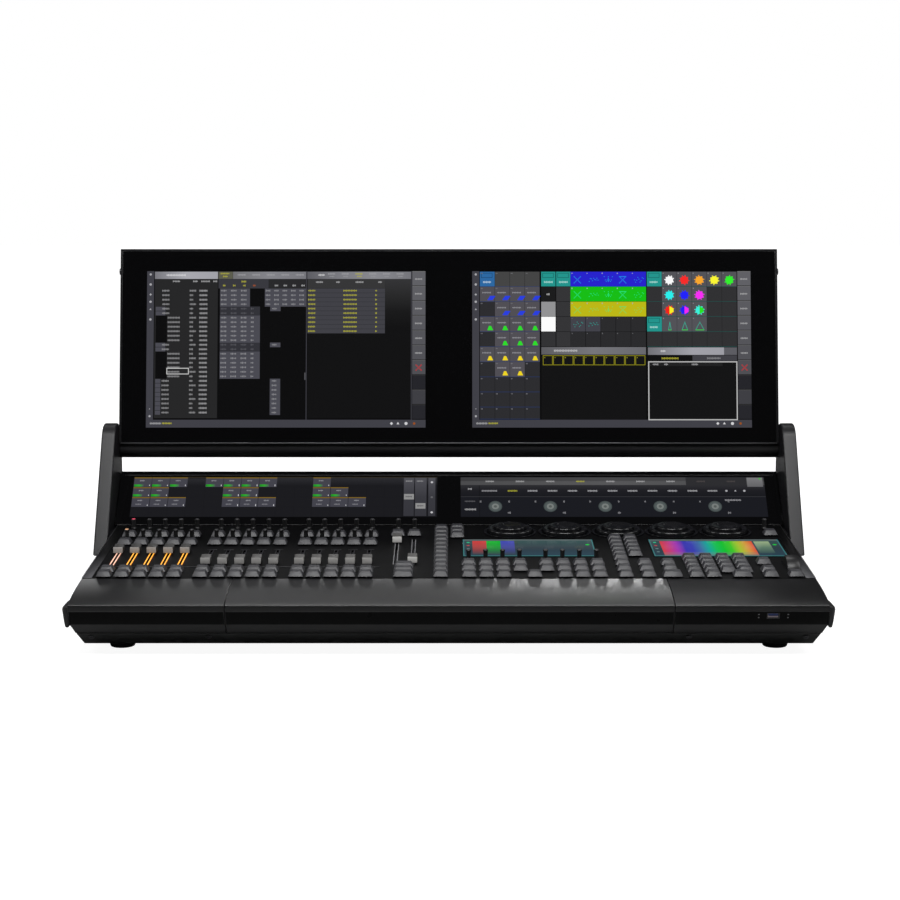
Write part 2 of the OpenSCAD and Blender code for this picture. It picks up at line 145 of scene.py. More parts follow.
def noiseNode(tree, vector, scale, detail=3.0, rough=0.5):
    node = tree.nodes.new("ShaderNodeTexNoise")
    node.inputs["Detail"].default_value = detail
    node.inputs["Roughness"].default_value = rough
    tree.links.new(vector, node.inputs["Vector"])
    if isinstance(scale, (int, float)):
        node.inputs["Scale"].default_value = scale
    else:
        tree.links.new(scale, node.inputs["Scale"])
    return node.outputs["Fac"]


def makeGrainGroup():
    # fine moulded or sprayed grain: a height, and a roughness and a shade that follow it
    group, inp, out = newGroup("surfaceGrain", [
        ("Vector", "NodeSocketVector", (0, 0, 0)), ("Grain Scale", "NodeSocketFloat", 900.0),
        ("Roughness", "NodeSocketFloat", 0.5), ("Roughness Spread", "NodeSocketFloat", 0.1),
        ("Colour", "NodeSocketColor", (0.1, 0.1, 0.1, 1)), ("Shade Spread", "NodeSocketFloat", 0.2)],
        [("Colour", "NodeSocketColor"), ("Roughness", "NodeSocketFloat"), ("Height", "NodeSocketFloat")])
    fine = noiseNode(group, inp.outputs["Vector"], inp.outputs["Grain Scale"], 4.0, 0.6)
    broad = noiseNode(group, inp.outputs["Vector"], 14.0, 4.0, 0.6)
    centred = mathNode(group, "SUBTRACT", broad, 0.5)
    swing = mathNode(group, "MULTIPLY", centred, inp.outputs["Roughness Spread"])
    rough = mathNode(group, "ADD", swing, inp.outputs["Roughness"])
    both = mathNode(group, "MULTIPLY_ADD", fine, 0.5, mathNode(group, "MULTIPLY", broad, 0.5))
    shade = mathNode(group, "SUBTRACT", both, 0.5)
    shade = mathNode(group, "MULTIPLY_ADD", shade, inp.outputs["Shade Spread"], 1.0)
    scaled = group.nodes.new("ShaderNodeVectorMath")
    scaled.operation = "SCALE"
    group.links.new(inp.outputs["Colour"], scaled.inputs[0])
    group.links.new(shade, scaled.inputs["Scale"])
    group.links.new(scaled.outputs[0], out.inputs["Colour"])
    group.links.new(rough, out.inputs["Roughness"])
    group.links.new(fine, out.inputs["Height"])
    return group


def makeHandlingGroup():
    # faint smears and settled dust that lift the roughness and lighten the colour
    group, inp, out = newGroup("handling", [
        ("Vector", "NodeSocketVector", (0, 0, 0)), ("Colour", "NodeSocketColor", (0.1, 0.1, 0.1, 1)),
        ("Roughness", "NodeSocketFloat", 0.5), ("Dust", "NodeSocketFloat", 0.1)],
        [("Colour", "NodeSocketColor"), ("Roughness", "NodeSocketFloat")])
    patches = noiseNode(group, inp.outputs["Vector"], 22.0, 5.0, 0.65)
    specks = noiseNode(group, inp.outputs["Vector"], 700.0, 2.0, 0.5)
    mask = mathNode(group, "MULTIPLY", mathNode(group, "GREATER_THAN", specks, 0.66), patches)
    mask = mathNode(group, "ADD", mask, mathNode(group, "POWER", patches, 4.0))
    mask = mathNode(group, "MULTIPLY", mask, inp.outputs["Dust"])
    mix = group.nodes.new("ShaderNodeMix")
    mix.data_type = "RGBA"
    mix.inputs["B"].default_value = (0.30, 0.29, 0.28, 1)
    group.links.new(mask, mix.inputs["Factor"])
    group.links.new(inp.outputs["Colour"], mix.inputs["A"])
    group.links.new(mix.outputs["Result"], out.inputs["Colour"])
    lifted = mathNode(group, "MULTIPLY_ADD", mask, 0.6, inp.outputs["Roughness"])
    group.links.new(lifted, out.inputs["Roughness"])
    return group


grainGroup = makeGrainGroup()
handlingGroup = makeHandlingGroup()


def addGroup(tree, group):
    node = tree.nodes.new("ShaderNodeGroup")
    node.node_tree = group
    return node


# what a finish leaves out is taken from plainFinish; grain is in cells per metre, bump in metres
plainFinish = dict(rough=0.35, metal=0.0, shine=0.5, spread=0.16, grain=2000, bump=0.00001, dust=0.0,
                   ior=1.48, shade=0.5, relief=0.6)
finishes = {
    "powderCoat": dict(colour=(0.0095, 0.0095, 0.0105), rough=0.42, grain=1500, bump=0.00006, dust=0.05),
    "panPaint": dict(colour=(0.012, 0.013, 0.013), rough=0.38, grain=1300, bump=0.00005, dust=0.05),
    "armrestPaint": dict(colour=(0.0045, 0.0045, 0.0052), rough=0.30, shine=0.45, spread=0.02,
                         grain=1700, bump=0.00002, dust=0.01),
    # a darker, less shiny copy of the armrest paint for the band under the lip: painted shade
    "bandPaintedShade": dict(colour=(0.0035, 0.0036, 0.0038), rough=0.30, shine=0.06,
                      grain=1700, bump=0.00002, dust=0.01),
    "panelCoat": dict(colour=(0.0022, 0.0022, 0.0026), rough=0.46, shine=0.12,
                      grain=1100, bump=0.00003, dust=0.01),
    "trackDim": dict(colour=(0.030, 0.030, 0.036), bump=0.0),
    "knobTop": dict(colour=(0.050, 0.050, 0.055), rough=0.45),
    "socketPale": dict(colour=(0.62, 0.52, 0.56), rough=0.40, bump=0.0),
    "trimMetal": dict(colour=(0.16, 0.16, 0.17), rough=0.34, metal=0.85, grain=2200, dust=0.02),
    "brightEdge": dict(colour=(0.42, 0.42, 0.44), rough=0.30, metal=1.0, grain=1800),
    "armPaint": dict(colour=(0.0095, 0.0095, 0.0115), rough=0.40, grain=1500, bump=0.00004, dust=0.03),
    "anodised": dict(colour=(0.016, 0.016, 0.018), rough=0.36, metal=0.3,
                     grain=1900, bump=0.00002, dust=0.03),
    "bumper": dict(colour=(0.010, 0.010, 0.011), rough=0.50, grain=1000, bump=0.00008, dust=0.06),
    "footRubber": dict(colour=(0.008, 0.008, 0.008), rough=0.72, grain=900, bump=0.00010, dust=0.10),
    "keyCap": dict(colour=(0.043, 0.043, 0.049), rough=0.42, grain=2600, bump=0.00003, dust=0.03),
    "keyStem": dict(colour=(0.02, 0.02, 0.02), rough=0.6, bump=0.00002),
    "faderGrey": dict(colour=(0.050, 0.049, 0.048), rough=0.45, grain=2600, bump=0.00003, dust=0.03),
    "faderFront": dict(colour=(0.48, 0.47, 0.455), rough=0.50, shine=0.3, grain=2600, bump=0.00003),
    "masterFront": dict(colour=(0.80, 0.79, 0.76), rough=0.50, shine=0.3, grain=2600, bump=0.00003),
    "faderLight": dict(colour=(0.080, 0.078, 0.075), rough=0.45, grain=2600, bump=0.00003, dust=0.03),
    "encoderGloss": dict(colour=(0.0060, 0.0060, 0.0072), rough=0.22, grain=300, bump=0.0),
    "knobSoft": dict(colour=(0.014, 0.014, 0.015), rough=0.38, grain=2200, bump=0.00003, dust=0.03),
    "steel": dict(colour=(0.10, 0.10, 0.105), rough=0.32, metal=1.0, grain=2500, dust=0.02),
    "plainSheet": dict(colour=(0.50, 0.51, 0.53), metal=1.0, grain=1200, bump=0.00002, dust=0.04),
    "socketPlastic": dict(colour=(0.010, 0.010, 0.011), grain=1800, bump=0.00002, dust=0.03),
    "moduleBody": dict(colour=(0.09, 0.09, 0.10), rough=0.45, grain=1500, bump=0.00003, dust=0.06),
    "boardGreen": dict(colour=(0.012, 0.075, 0.035), rough=0.30, grain=900, bump=0.00004, dust=0.04),
    "usbBlue": dict(colour=(0.03, 0.06, 0.24)),
    "printGrey": dict(colour=(0.22, 0.22, 0.23), rough=0.55, grain=1500),
}


def setInputs(node, values):
    for socket, value in values.items():
        node.inputs[socket].default_value = value


def newMaterial(name, values):
    # a material with its shader's fixed values, and the place on the object
    material = bpy.data.materials.new(name)
    material.use_nodes = True
    tree = material.node_tree
    shader = tree.nodes["Principled BSDF"]
    setInputs(shader, values)
    where = tree.nodes.new("ShaderNodeTexCoord").outputs["Object"]
    return material, tree, shader, where


def makeFinish(name, values):
    values = {**plainFinish, **values}
    material, tree, shader, where = newMaterial(name, {
        "Metallic": values["metal"], "IOR": values["ior"], "Specular IOR Level": values["shine"]})
    grain = addGroup(tree, grainGroup)
    setInputs(grain, {"Grain Scale": values["grain"], "Roughness": values["rough"],
                      "Roughness Spread": values["spread"], "Shade Spread": values["shade"],
                      "Colour": (*values["colour"], 1)})
    handled = addGroup(tree, handlingGroup)
    handled.inputs["Dust"].default_value = values["dust"]
    bump = tree.nodes.new("ShaderNodeBump")
    setInputs(bump, {"Distance": values["bump"], "Strength": values["relief"]})
    tree.links.new(where, grain.inputs["Vector"])
    tree.links.new(where, handled.inputs["Vector"])
    tree.links.new(grain.outputs["Colour"], handled.inputs["Colour"])
    tree.links.new(grain.outputs["Roughness"], handled.inputs["Roughness"])
    tree.links.new(grain.outputs["Height"], bump.inputs["Height"])
    tree.links.new(handled.outputs["Colour"], shader.inputs["Base Color"])
    tree.links.new(handled.outputs["Roughness"], shader.inputs["Roughness"])
    tree.links.new(bump.outputs["Normal"], shader.inputs["Normal"])
    return material


glass = dict(ior=1.42, black=(0.0022, 0.0022, 0.0026, 1), behind=(0.001, 0.001, 0.001, 1))


def makeBlackGlass():
    material, tree, shader, where = newMaterial("blackGlass", {
        "Base Color": glass["black"], "IOR": glass["ior"]})
    smear = noiseNode(tree, where, 9.0, 6.0, 0.7)
    rough = mathNode(tree, "MULTIPLY_ADD", mathNode(tree, "POWER", smear, 3.0), 0.16, 0.045)
    tree.links.new(rough, shader.inputs["Roughness"])
    return material


def makeScreenLight(name, glow):
    # a lit display behind glass, coloured by the tints at the corners of the piece's faces
    material, tree, shader, where = newMaterial(name, {
        "Base Color": glass["behind"], "IOR": glass["ior"], "Emission Strength": glow})
    tint = tree.nodes.new("ShaderNodeAttribute")
    tint.attribute_name = "tint"
    tree.links.new(tint.outputs["Color"], shader.inputs["Emission Color"])
    rough = mathNode(tree, "MULTIPLY_ADD", noiseNode(tree, where, 9.0, 6.0, 0.7), 0.05, 0.05)
    tree.links.new(rough, shader.inputs["Roughness"])
    return material


def makeLamp(name, colour, glow):
    # a light pipe whose glow ripples a little along its length
    material, tree, shader, where = newMaterial(name, {
        "Base Color": (*[0.4 * c for c in colour], 1), "Roughness": 0.3, "Emission Strength": glow})
    ripple = noiseNode(tree, where, 60.0, 2.0, 0.5)
    ramp = tree.nodes.new("ShaderNodeValToRGB")
    for element, position, tone in zip(ramp.color_ramp.elements, (0.25, 0.7), (0.6, 1.0)):
        element.position = position
        element.color = (*[tone * c for c in colour], 1)
    tree.links.new(ripple, ramp.inputs["Fac"])
    tree.links.new(ramp.outputs["Color"], shader.inputs["Emission Color"])
    return material


def makeStripWithPaintedSheen(values):
    # metal strip whose colour is pale at its front end and darkens to the rear: a painted sheen of the
    # lights, bright at the front and fading to the rear
    material = makeFinish("stripMetal", values)
    tree = material.node_tree
    shader = tree.nodes["Principled BSDF"]
    where = tree.nodes.new("ShaderNodeTexCoord").outputs["Object"]
    split = tree.nodes.new("ShaderNodeSeparateXYZ")
    tree.links.new(where, split.inputs["Vector"])
    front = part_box("control_panel")[0].y
    # the colour runs from the front tone to the rear tone along the panel: painted sheen
    fall = tree.nodes.new("ShaderNodeMapRange")
    setInputs(fall, {"From Min": front, "From Max": front + values["reach"],
                     "To Min": values["front"], "To Max": values["rear"]})
    tree.links.new(split.outputs["Y"], fall.inputs["Value"])
    mix = tree.nodes.new("ShaderNodeCombineColor")
    for i, tone in enumerate((1.0, 1.0, 1.08)):
        tree.links.new(mathNode(tree, "MULTIPLY", fall.outputs["Result"], tone), mix.inputs[i])
    tree.links.new(mix.outputs["Color"], shader.inputs["Base Color"])
    return material


mats = {name: makeFinish(name, values) for name, values in finishes.items()}
# the front and rear tones of the side trims are a painted sheen, not a change in the metal
mats["stripMetal"] = makeStripWithPaintedSheen(dict(colour=(0.1, 0.1, 0.1), rough=0.38, metal=0.5, shine=0.3, grain=2200,
                                         front=0.13, rear=0.006, reach=0.10))
mats["blackGlass"] = makeBlackGlass()
for name in ("screen", "commandScreen"):
    mats[name] = makeScreenLight(name, 1.0)

# colour and glow of the light pipes, of the painted glow round them, and of the lit knobs
lampColours = {
    "amberLamp": ((1.0, 0.50, 0.060), 1.6),
    # painted glow spilling onto the panel round the amber pipes
    "amberGlowSpill": ((0.60, 0.12, 0.002), 1.0),
    # painted glow spilling onto the panel round the white pipe
    "whiteGlowSpill": ((0.42, 0.14, 0.06), 1.0),
    "whiteLamp": ((1.0, 0.62, 0.48), 1.4),
    "redLamp": ((0.75, 0.05, 0.12), 1.0),
    "peachLamp": ((1.0, 0.55, 0.30), 0.9),
}
for name, (colour, glow) in lampColours.items():
    mats[name] = makeLamp(name, colour, glow)
print("finishes:", len(mats))


# piece helpers

def addPiece(bm, name, finish, body, stands=(), smooth=30):
    bmesh.ops.recalc_face_normals(bm, faces=bm.faces)
    return addFaces(bm, name, finish, body, stands, smooth)


def addFaces(bm, name, finish, body, stands=(), smooth=30):
    # finish may be several names, for the material numbers of the faces
    mesh = bpy.data.meshes.new(name)
    for face in bm.faces:
        face.smooth = smooth > 0
    bm.to_mesh(mesh)
    bm.free()
    for one in ([finish] if isinstance(finish, str) else finish):
        mesh.materials.append(mats[one])
    if smooth:
        mesh.set_sharp_from_angle(angle=math.radians(smooth))
    piece = bpy.data.objects.new(name, mesh)
    scene.collection.objects.link(piece)
    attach(piece, body)
    if stands:
        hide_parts(*stands)
    return piece


hingeAxis = Vector(joints["monitor_tilt"]["pos_m"])
hingeClear = 6 * mm


def bevelSharp(bm, width, segments=2, above=28):
    # the bores round the hinge pins keep their CAD edges
    edges = [e for e in bm.edges if len(e.link_faces) == 2
             and e.calc_face_angle(0) > math.radians(above)
             and max((v.co - hingeAxis).yz.length for v in e.verts) > hingeClear]
    bmesh.ops.bevel(bm, geom=edges, offset=width, offset_type="OFFSET", segments=segments,
                    affect="EDGES", profile=0.5, material=-1, clamp_overlap=True)


def refineNode(node, name, finish, body, width, segments=2):
    # the CAD shape with its edges broken; an armrest's band under its lip gets a darker, less shiny copy of
    # its paint, which is painted shade
    bm = mergedCopy(node)
    bevelSharp(bm, width, segments)
    names = [finish]
    if finish == "armrestPaint":
        names.append("bandPaintedShade")
        # the band faces under the lip take the darker copy of the paint: painted shade
        steepest = min(f.normal.y for f in bm.faces if f.normal.z < -0.2)
        for face in bm.faces:
            if abs(face.normal.y - steepest) < 0.01:
                face.material_index = 1
    piece = addPiece(bm, name, names, body, [node])
    piece.modifiers.new("flatFaces", "WEIGHTED_NORMAL").keep_sharp = True
    return piece


def addBox(bm, low, high, place=Matrix.Identity(4), bevel=0.0, segments=2, material=0):
    low, high = Vector(low), Vector(high)
    size = high - low
    made = bmesh.ops.create_cube(bm, size=1.0, matrix=Matrix.Translation((low + high) / 2)
                                 @ Matrix.Diagonal((*size, 1)))["verts"]
    faces = list({f for v in made for f in v.link_faces})
    if bevel:
        edges = list({e for v in made for e in v.link_edges})
        result = bmesh.ops.bevel(bm, geom=edges, offset=bevel, offset_type="OFFSET", segments=segments,
                                 affect="EDGES", profile=0.5, material=-1, clamp_overlap=True)
        made = list({v for f in result["faces"] for v in f.verts})
        faces = list({f for v in made for f in v.link_faces})
        made = list({v for f in faces for v in f.verts})
    bmesh.ops.transform(bm, matrix=place, verts=made)
    for face in faces:
        face.material_index = material


def addSpin(bm, profile, steps, place=Matrix.Identity(4), material=0):
    # profile is (radius, height) pairs in metres, turned about z
    ring = [bm.verts.new((r, 0, z)) for r, z in profile]
    edges = [bm.edges.new(pair) for pair in zip(ring, ring[1:])]
    before = set(bm.faces)
    bmesh.ops.spin(bm, geom=ring + edges, cent=(0, 0, 0), axis=(0, 0, 1), angle=math.tau,
                   steps=steps, use_merge=True)
    faces = [f for f in bm.faces if f not in before]
    verts = list({v for f in faces for v in f.verts})
    bmesh.ops.remove_doubles(bm, verts=verts, dist=1e-7)
    verts = [v for v in verts if v.is_valid]
    bmesh.ops.transform(bm, matrix=place, verts=verts)
    for face in faces:
        if face.is_valid:
            face.material_index = material


def stamp(target, template, matrix):
    # adds a copy of a template mesh at a place
    before = len(target.verts)
    target.from_mesh(template)
    target.verts.ensure_lookup_table()
    bmesh.ops.transform(target, matrix=matrix, verts=target.verts[before:])


def templateMesh(bm, name):
    bmesh.ops.recalc_face_normals(bm, faces=bm.faces)
    mesh = bpy.data.meshes.new(name)
    bm.to_mesh(mesh)
    bm.free()
    return mesh


def shift(place, x=0.0, y=0.0, z=0.0):
    return place @ Matrix.Translation((x, y, z))


panel = panelFrame()
letterbox = faceFrame("letterbox_glass")
wing = faceFrame("monitor_glass")

# camera and stage

cameraSet = dict(
    x=1.35 * mm,
    ahead=2011.3 * mm,     # from the armrest nose
    height=507.2 * mm,
    pitch=8.0,
    lens=78.0,
)


def makeCamera():
    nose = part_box("drawer_front")[0].y
    data = bpy.data.cameras.new("camera")
    data.lens = cameraSet["lens"]
    data.sensor_width = 36.0
    camera = bpy.data.objects.new("camera", data)
    camera.location = (cameraSet["x"], nose - cameraSet["ahead"], cameraSet["height"])
    camera.rotation_euler = (math.radians(90 - cameraSet["pitch"]), 0, 0)
    scene.collection.objects.link(camera)
    scene.camera = camera


stageSet = dict(floorSize=24.0, seenGrey=0.35, bounceGrey=0.45, glow=0.93, farGlow=1.1,
                glowFrom=0.45, glowTo=1.1, sky=0.035)


def makeFloorPaint():
    # glows white to the camera alone, with a faint shadow round the feet, and is plain grey to the desk
    material, tree, shader, where = newMaterial("paleFloor", {
        "Roughness": 1.0, "Specular IOR Level": 0.0, "Emission Color": (1, 1, 1, 1)})
    seen = tree.nodes.new("ShaderNodeLightPath").outputs["Is Camera Ray"]
    toCamera, toDesk = stageSet["seenGrey"], stageSet["bounceGrey"]
    shade = mathNode(tree, "MULTIPLY_ADD", seen, toCamera - toDesk, toDesk)
    mix = tree.nodes.new("ShaderNodeCombineColor")
    for socket in mix.inputs:
        if socket.type == "VALUE":
            tree.links.new(shade, socket)
    tree.links.new(mix.outputs["Color"], shader.inputs["Base Color"])
    length = tree.nodes.new("ShaderNodeVectorMath")
    length.operation = "LENGTH"
    tree.links.new(where, length.inputs[0])
    spread = tree.nodes.new("ShaderNodeMapRange")
    spread.interpolation_type = "SMOOTHSTEP"
    setInputs(spread, {"From Min": stageSet["glowFrom"], "From Max": stageSet["glowTo"],
                       "To Min": stageSet["glow"], "To Max": stageSet["farGlow"]})
    tree.links.new(length.outputs["Value"], spread.inputs["Value"])
    glow = mathNode(tree, "MULTIPLY", spread.outputs["Result"], seen)
    tree.links.new(glow, shader.inputs["Emission Strength"])
    return material


def makeStage():
    bm = bmesh.new()
    bmesh.ops.create_grid(bm, x_segments=1, y_segments=1, size=stageSet["floorSize"] / 2)
    mesh = bpy.data.meshes.new("floor")
    bm.to_mesh(mesh)
    bm.free()
    floor = bpy.data.objects.new("floor", mesh)
    scene.collection.objects.link(floor)
    mesh.materials.append(makeFloorPaint())
    world = bpy.data.worlds.new("studio")
    world.use_nodes = True
    tree = world.node_tree
    background = tree.nodes["Background"]
    background.inputs["Strength"].default_value = 1.0
    seen = tree.nodes.new("ShaderNodeLightPath").outputs["Is Camera Ray"]
    mix = tree.nodes.new("ShaderNodeMix")
    mix.data_type = "RGBA"
    sky = stageSet["sky"]
    mix.inputs["A"].default_value = (sky, sky, sky, 1)
    mix.inputs["B"].default_value = (1, 1, 1, 1)
    tree.links.new(seen, mix.inputs["Factor"])
    tree.links.new(mix.outputs["Result"], background.inputs["Color"])
    scene.world = world
    scene.view_settings.view_transform = "Standard"
    scene.view_settings.look = "None"


# where each lamp is, what it looks at, its size in metres and its power in watts
armrestPieces = ("armrestLeft", "armrestRight", "drawerFront")
lamps = {
    "aboveBehind": dict(at=(0.0, 1.3, 2.2), to=(0.0, -0.1, 0.1), size=(1.6, 0.5), power=10),
    "frontHigh": dict(at=(0.0, -1.5, 2.7), to=(0.0, 0.0, 0.1), size=(2.2, 0.5), power=62),
    "leftHigh": dict(at=(-2.0, -0.4, 1.9), to=(0.0, 0.0, 0.1), size=(0.5, 1.2), power=12),
    "rightHigh": dict(at=(2.0, -0.4, 1.9), to=(0.0, 0.0, 0.1), size=(0.5, 1.2), power=16),
    "armrestGlow": dict(at=(0.1, 1.3, 0.50), to=(0.0, -0.2, 0.07), size=(2.8, 0.16), power=5.0,
                        only=armrestPieces),
    "armrestRight": dict(at=(0.34, 1.3, 0.50), to=(0.15, -0.2, 0.07), size=(0.5, 0.16), power=4.0,
                         only=armrestPieces),
}


def makeLights():
    for name, values in lamps.items():
        data = bpy.data.lights.new(name, "AREA")
        data.shape = "RECTANGLE"
        data.size, data.size_y = values["size"]
        data.energy = values["power"]
        light = bpy.data.objects.new(name, data)
        light.location = values["at"]
        aim = Vector(values["to"]) - Vector(values["at"])
        light.rotation_euler = aim.to_track_quat("-Z", "Y").to_euler()
        light.visible_camera = False
        scene.collection.objects.link(light)


def aimLights():
    # a lamp with names in "only" lights those pieces alone, and only the floor shades it
    for name, values in lamps.items():
        if "only" not in values:
            continue
        lit = bpy.data.collections.new(name + "Lit")
        for piece in values["only"]:
            lit.objects.link(bpy.data.objects[piece])
        shading = bpy.data.collections.new(name + "Shading")
        shading.objects.link(bpy.data.objects["floor"])
        linking = bpy.data.objects[name].light_linking
        linking.receiver_collection = lit
        linking.blocker_collection = shading


makeCamera()
makeStage()
makeLights()
print("camera and stage")


# casing

casing = {
    # by body: node, piece, finish, slot, width of the broken edge in millimetres, segments
    "desk": [
        ("base_pan", "bottomPan", "panPaint", "pan", 0.7, 2),
        ("case_shell", "caseSides", "powderCoat", "case", 0.5, 2),
        ("rear_cover", "rearCover", "powderCoat", "case", 0.6, 2),
        ("connector_panel", "connectorPlate", "powderCoat", "case", 0.3, 1),
        ("left_armrest", "armrestLeft", "armrestPaint", "armrest", 0.8, 3),
        ("right_armrest", "armrestRight", "armrestPaint", "armrest", 0.8, 3),
        ("left_arm", "armLeft", "armPaint", "arm", 2.2, 4),
        ("right_arm", "armRight", "armPaint", "arm", 2.2, 4),
        ("side_rails", "sideRails", "bumper", "rail", 1.6, 3),
        ("feet", "rubberFeet", "footRubber", "foot", 1.2, 3),
        ("case_screws", "caseScrews", "steel", "screw", 0.25, 2),
        ("letterbox_housing", "letterboxBack", "powderCoat", "inner_housing", 0.5, 1),
        ("letterbox_glass", "letterboxGlass", "blackGlass", "screen_glass", 0.5, 2),
        ("power_supply", "powerSupply", "plainSheet", "module_can", 0.6, 1),
        ("drawer_runners", "drawerRunners", "plainSheet", "module_can", 0.4, 1),
    ],
    "keyboard_drawer": [
        ("drawer_front", "drawerFront", "armrestPaint", "armrest", 0.8, 3),
        ("keyboard_tray", "keyboardTray", "powderCoat", "case", 0.4, 1),
        ("keyboard_keys", "keyboardKeys", "keyCap", "key", 0.9, 2),
    ],
    "monitor_wing": [
        ("monitor_housing", "monitorHousing", "anodised", "housing", 1.0, 3),
        ("monitor_glass", "monitorGlass", "blackGlass", "screen_glass", 0.6, 2),
        ("hinge_tube", "hingeTube", "anodised", "tube", 0.5, 2),
        ("latch_pins", "latchPins", "steel", "screw", 0.5, 2),
    ],
}
for body, parts in casing.items():
    for node, piece, finish, slotName, width, segments in parts:
        refineNode(node, piece, finish, body, width * mm, segments)

# CAD nodes whose own shape is what shows
kept = {"control_panel": "panelCoat", "panel_modules": "moduleBody", "circuit_boards": "boardGreen",
        "panel_displays": "blackGlass", "monitor_displays": "moduleBody", "sockets": "socketPlastic",
        "encoder_bezels": "encoderGloss"}
for node, finish in kept.items():
    mesh = frame["nodes"][node].data
    mesh.materials.clear()
    mesh.materials.append(mats[finish])
print("casing")


# control panel trims

trim = dict(start=0.4 * mm, width=10.6 * mm, height=0.5 * mm, edge=0.9 * mm, edgeHeight=1.1 * mm)


def makePanelTrims():
    length = max((panel.inverted() @ v.co).y for v in frame["nodes"]["control_panel"].data.vertices)
    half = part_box("control_panel")[1].x
    bm = bmesh.new()
    edge = bmesh.new()
    for side in (-1, 1):
        inner = half - trim["width"]
        xs = sorted((side * inner, side * (half - trim["edge"])))
        addBox(bm, (xs[0], trim["start"], 0), (xs[1], length, trim["height"]), panel, 0.15 * mm)
        xs = sorted((side * (half - trim["edge"]), side * half))
        addBox(edge, (xs[0], trim["start"], -1 * mm), (xs[1], length, trim["edgeHeight"]), panel, 0.3 * mm)
    addPiece(bm, "panelSideTrims", "stripMetal", "desk")
    addPiece(edge, "panelBrightEdges", "brightEdge", "desk")


makePanelTrims()


# rim of the monitor glass and the plug-in socket

rim = dict(width=0.8 * mm, proud=0.25 * mm, deep=0.5 * mm, foot=1.4 * mm)


def makeGlassRim():
    low, high = solidsOf("monitor_glass", wing)[0]
    w = rim["width"]
    inner, top = high.z - rim["deep"], high.z + rim["proud"]
    bm = bmesh.new()
    foot = bmesh.new()
    addBox(bm, (low.x, high.y - w, inner), (high.x, high.y, top), wing, 0.1 * mm)
    for x in (low.x, high.x - w):
        addBox(bm, (x, low.y + rim["foot"], inner), (x + w, high.y - w, top), wing, 0.1 * mm)
    addBox(foot, (low.x, low.y, inner), (high.x, low.y + rim["foot"], top), wing, 0.2 * mm)
    addPiece(bm, "glassRim", "anodised", "monitor_wing")
    addPiece(foot, "glassFootRim", "trimMetal", "monitor_wing")


frontSocket = dict(edge=0.7 * mm, proud=0.1 * mm, inset=1.2 * mm, wall=1.1 * mm, deep=3 * mm,
                   dotsFromMiddle=15.5 * mm, dotRise=1.9 * mm, dotWide=0.8 * mm, dotTall=0.7 * mm)


def makeFrontSocket():
    # rim, tongue and pale floor of the socket in the right armrest, with two plain dots on each side
    place = boxFrame(Vector((1, 0, 0)), Vector((0, 0, 1)), Vector((0, -1, 0)), Vector((0, 0, 0)))
    onRight = [b for b in solidsOf("sockets", place) if b[0].x > 0.3]
    low, high = max(onRight, key=lambda b: b[1].x - b[0].x)
    f = frontSocket
    edge, face, wall = f["edge"], high.z + f["proud"], f["wall"]
    bm = bmesh.new()
    for a, b in (((low.x, low.y), (high.x, low.y + edge)), ((low.x, high.y - edge), (high.x, high.y)),
                 ((low.x, low.y + edge), (low.x + edge, high.y - edge)),
                 ((high.x - edge, low.y + edge), (high.x, high.y - edge))):
        addBox(bm, (*a, high.z - 0.3 * mm), (*b, face), place)
    middle = (low.y + high.y) / 2
    left, right, back = low.x + f["inset"], high.x - f["inset"], high.z - f["deep"]
    addBox(bm, (left, middle - 0.1 * mm, back), (right, high.y - wall, high.z - 0.5 * mm), place, material=1)
    addBox(bm, (left, low.y + wall, back), (right, middle - 0.7 * mm, high.z - 0.4 * mm), place, material=2)
    addPiece(bm, "frontSocket", ["steel", "usbBlue", "socketPale"], "desk")
    skin = frame["nodes"]["right_armrest"].data
    band = max((p for p in skin.polygons if p.normal.y < -0.8 and p.normal.z < -0.2), key=lambda p: p.area)
    out = band.normal.normalized()
    up = out.cross(Vector((1, 0, 0)))
    level = max(v.co.dot(out) for v in (skin.vertices[i] for i in band.vertices))
    dots = bmesh.new()
    for side in (-1, 1):
        for step in (-1, 1):
            x = (low.x + high.x) / 2 + side * f["dotsFromMiddle"]
            z = middle + step * f["dotRise"]
            foot = Vector((x, 0, z))
            foot.y = (level - out.z * z) / out.y
            addBox(dots, (-f["dotWide"], -f["dotTall"], -0.1 * mm), (f["dotWide"], f["dotTall"], 0.06 * mm),
                   boxFrame(Vector((1, 0, 0)), up, out, foot))
    addPiece(dots, "socketDots", "printGrey", "desk")


makeGlassRim()
makeFrontSocket()
print("rim and socket")


# keys

keyShape = dict(
    foot=16.3 * mm, top=11.2 * mm, depth=14.4 * mm, front=3.6 * mm, back=1.6 * mm,
    rise=5.0 * mm, round=0.5 * mm, rim=0.5 * mm, dishIn=2.2 * mm, dish=0.6 * mm,
    stem=2.5 * mm, stemFoot=-9.8 * mm,
)


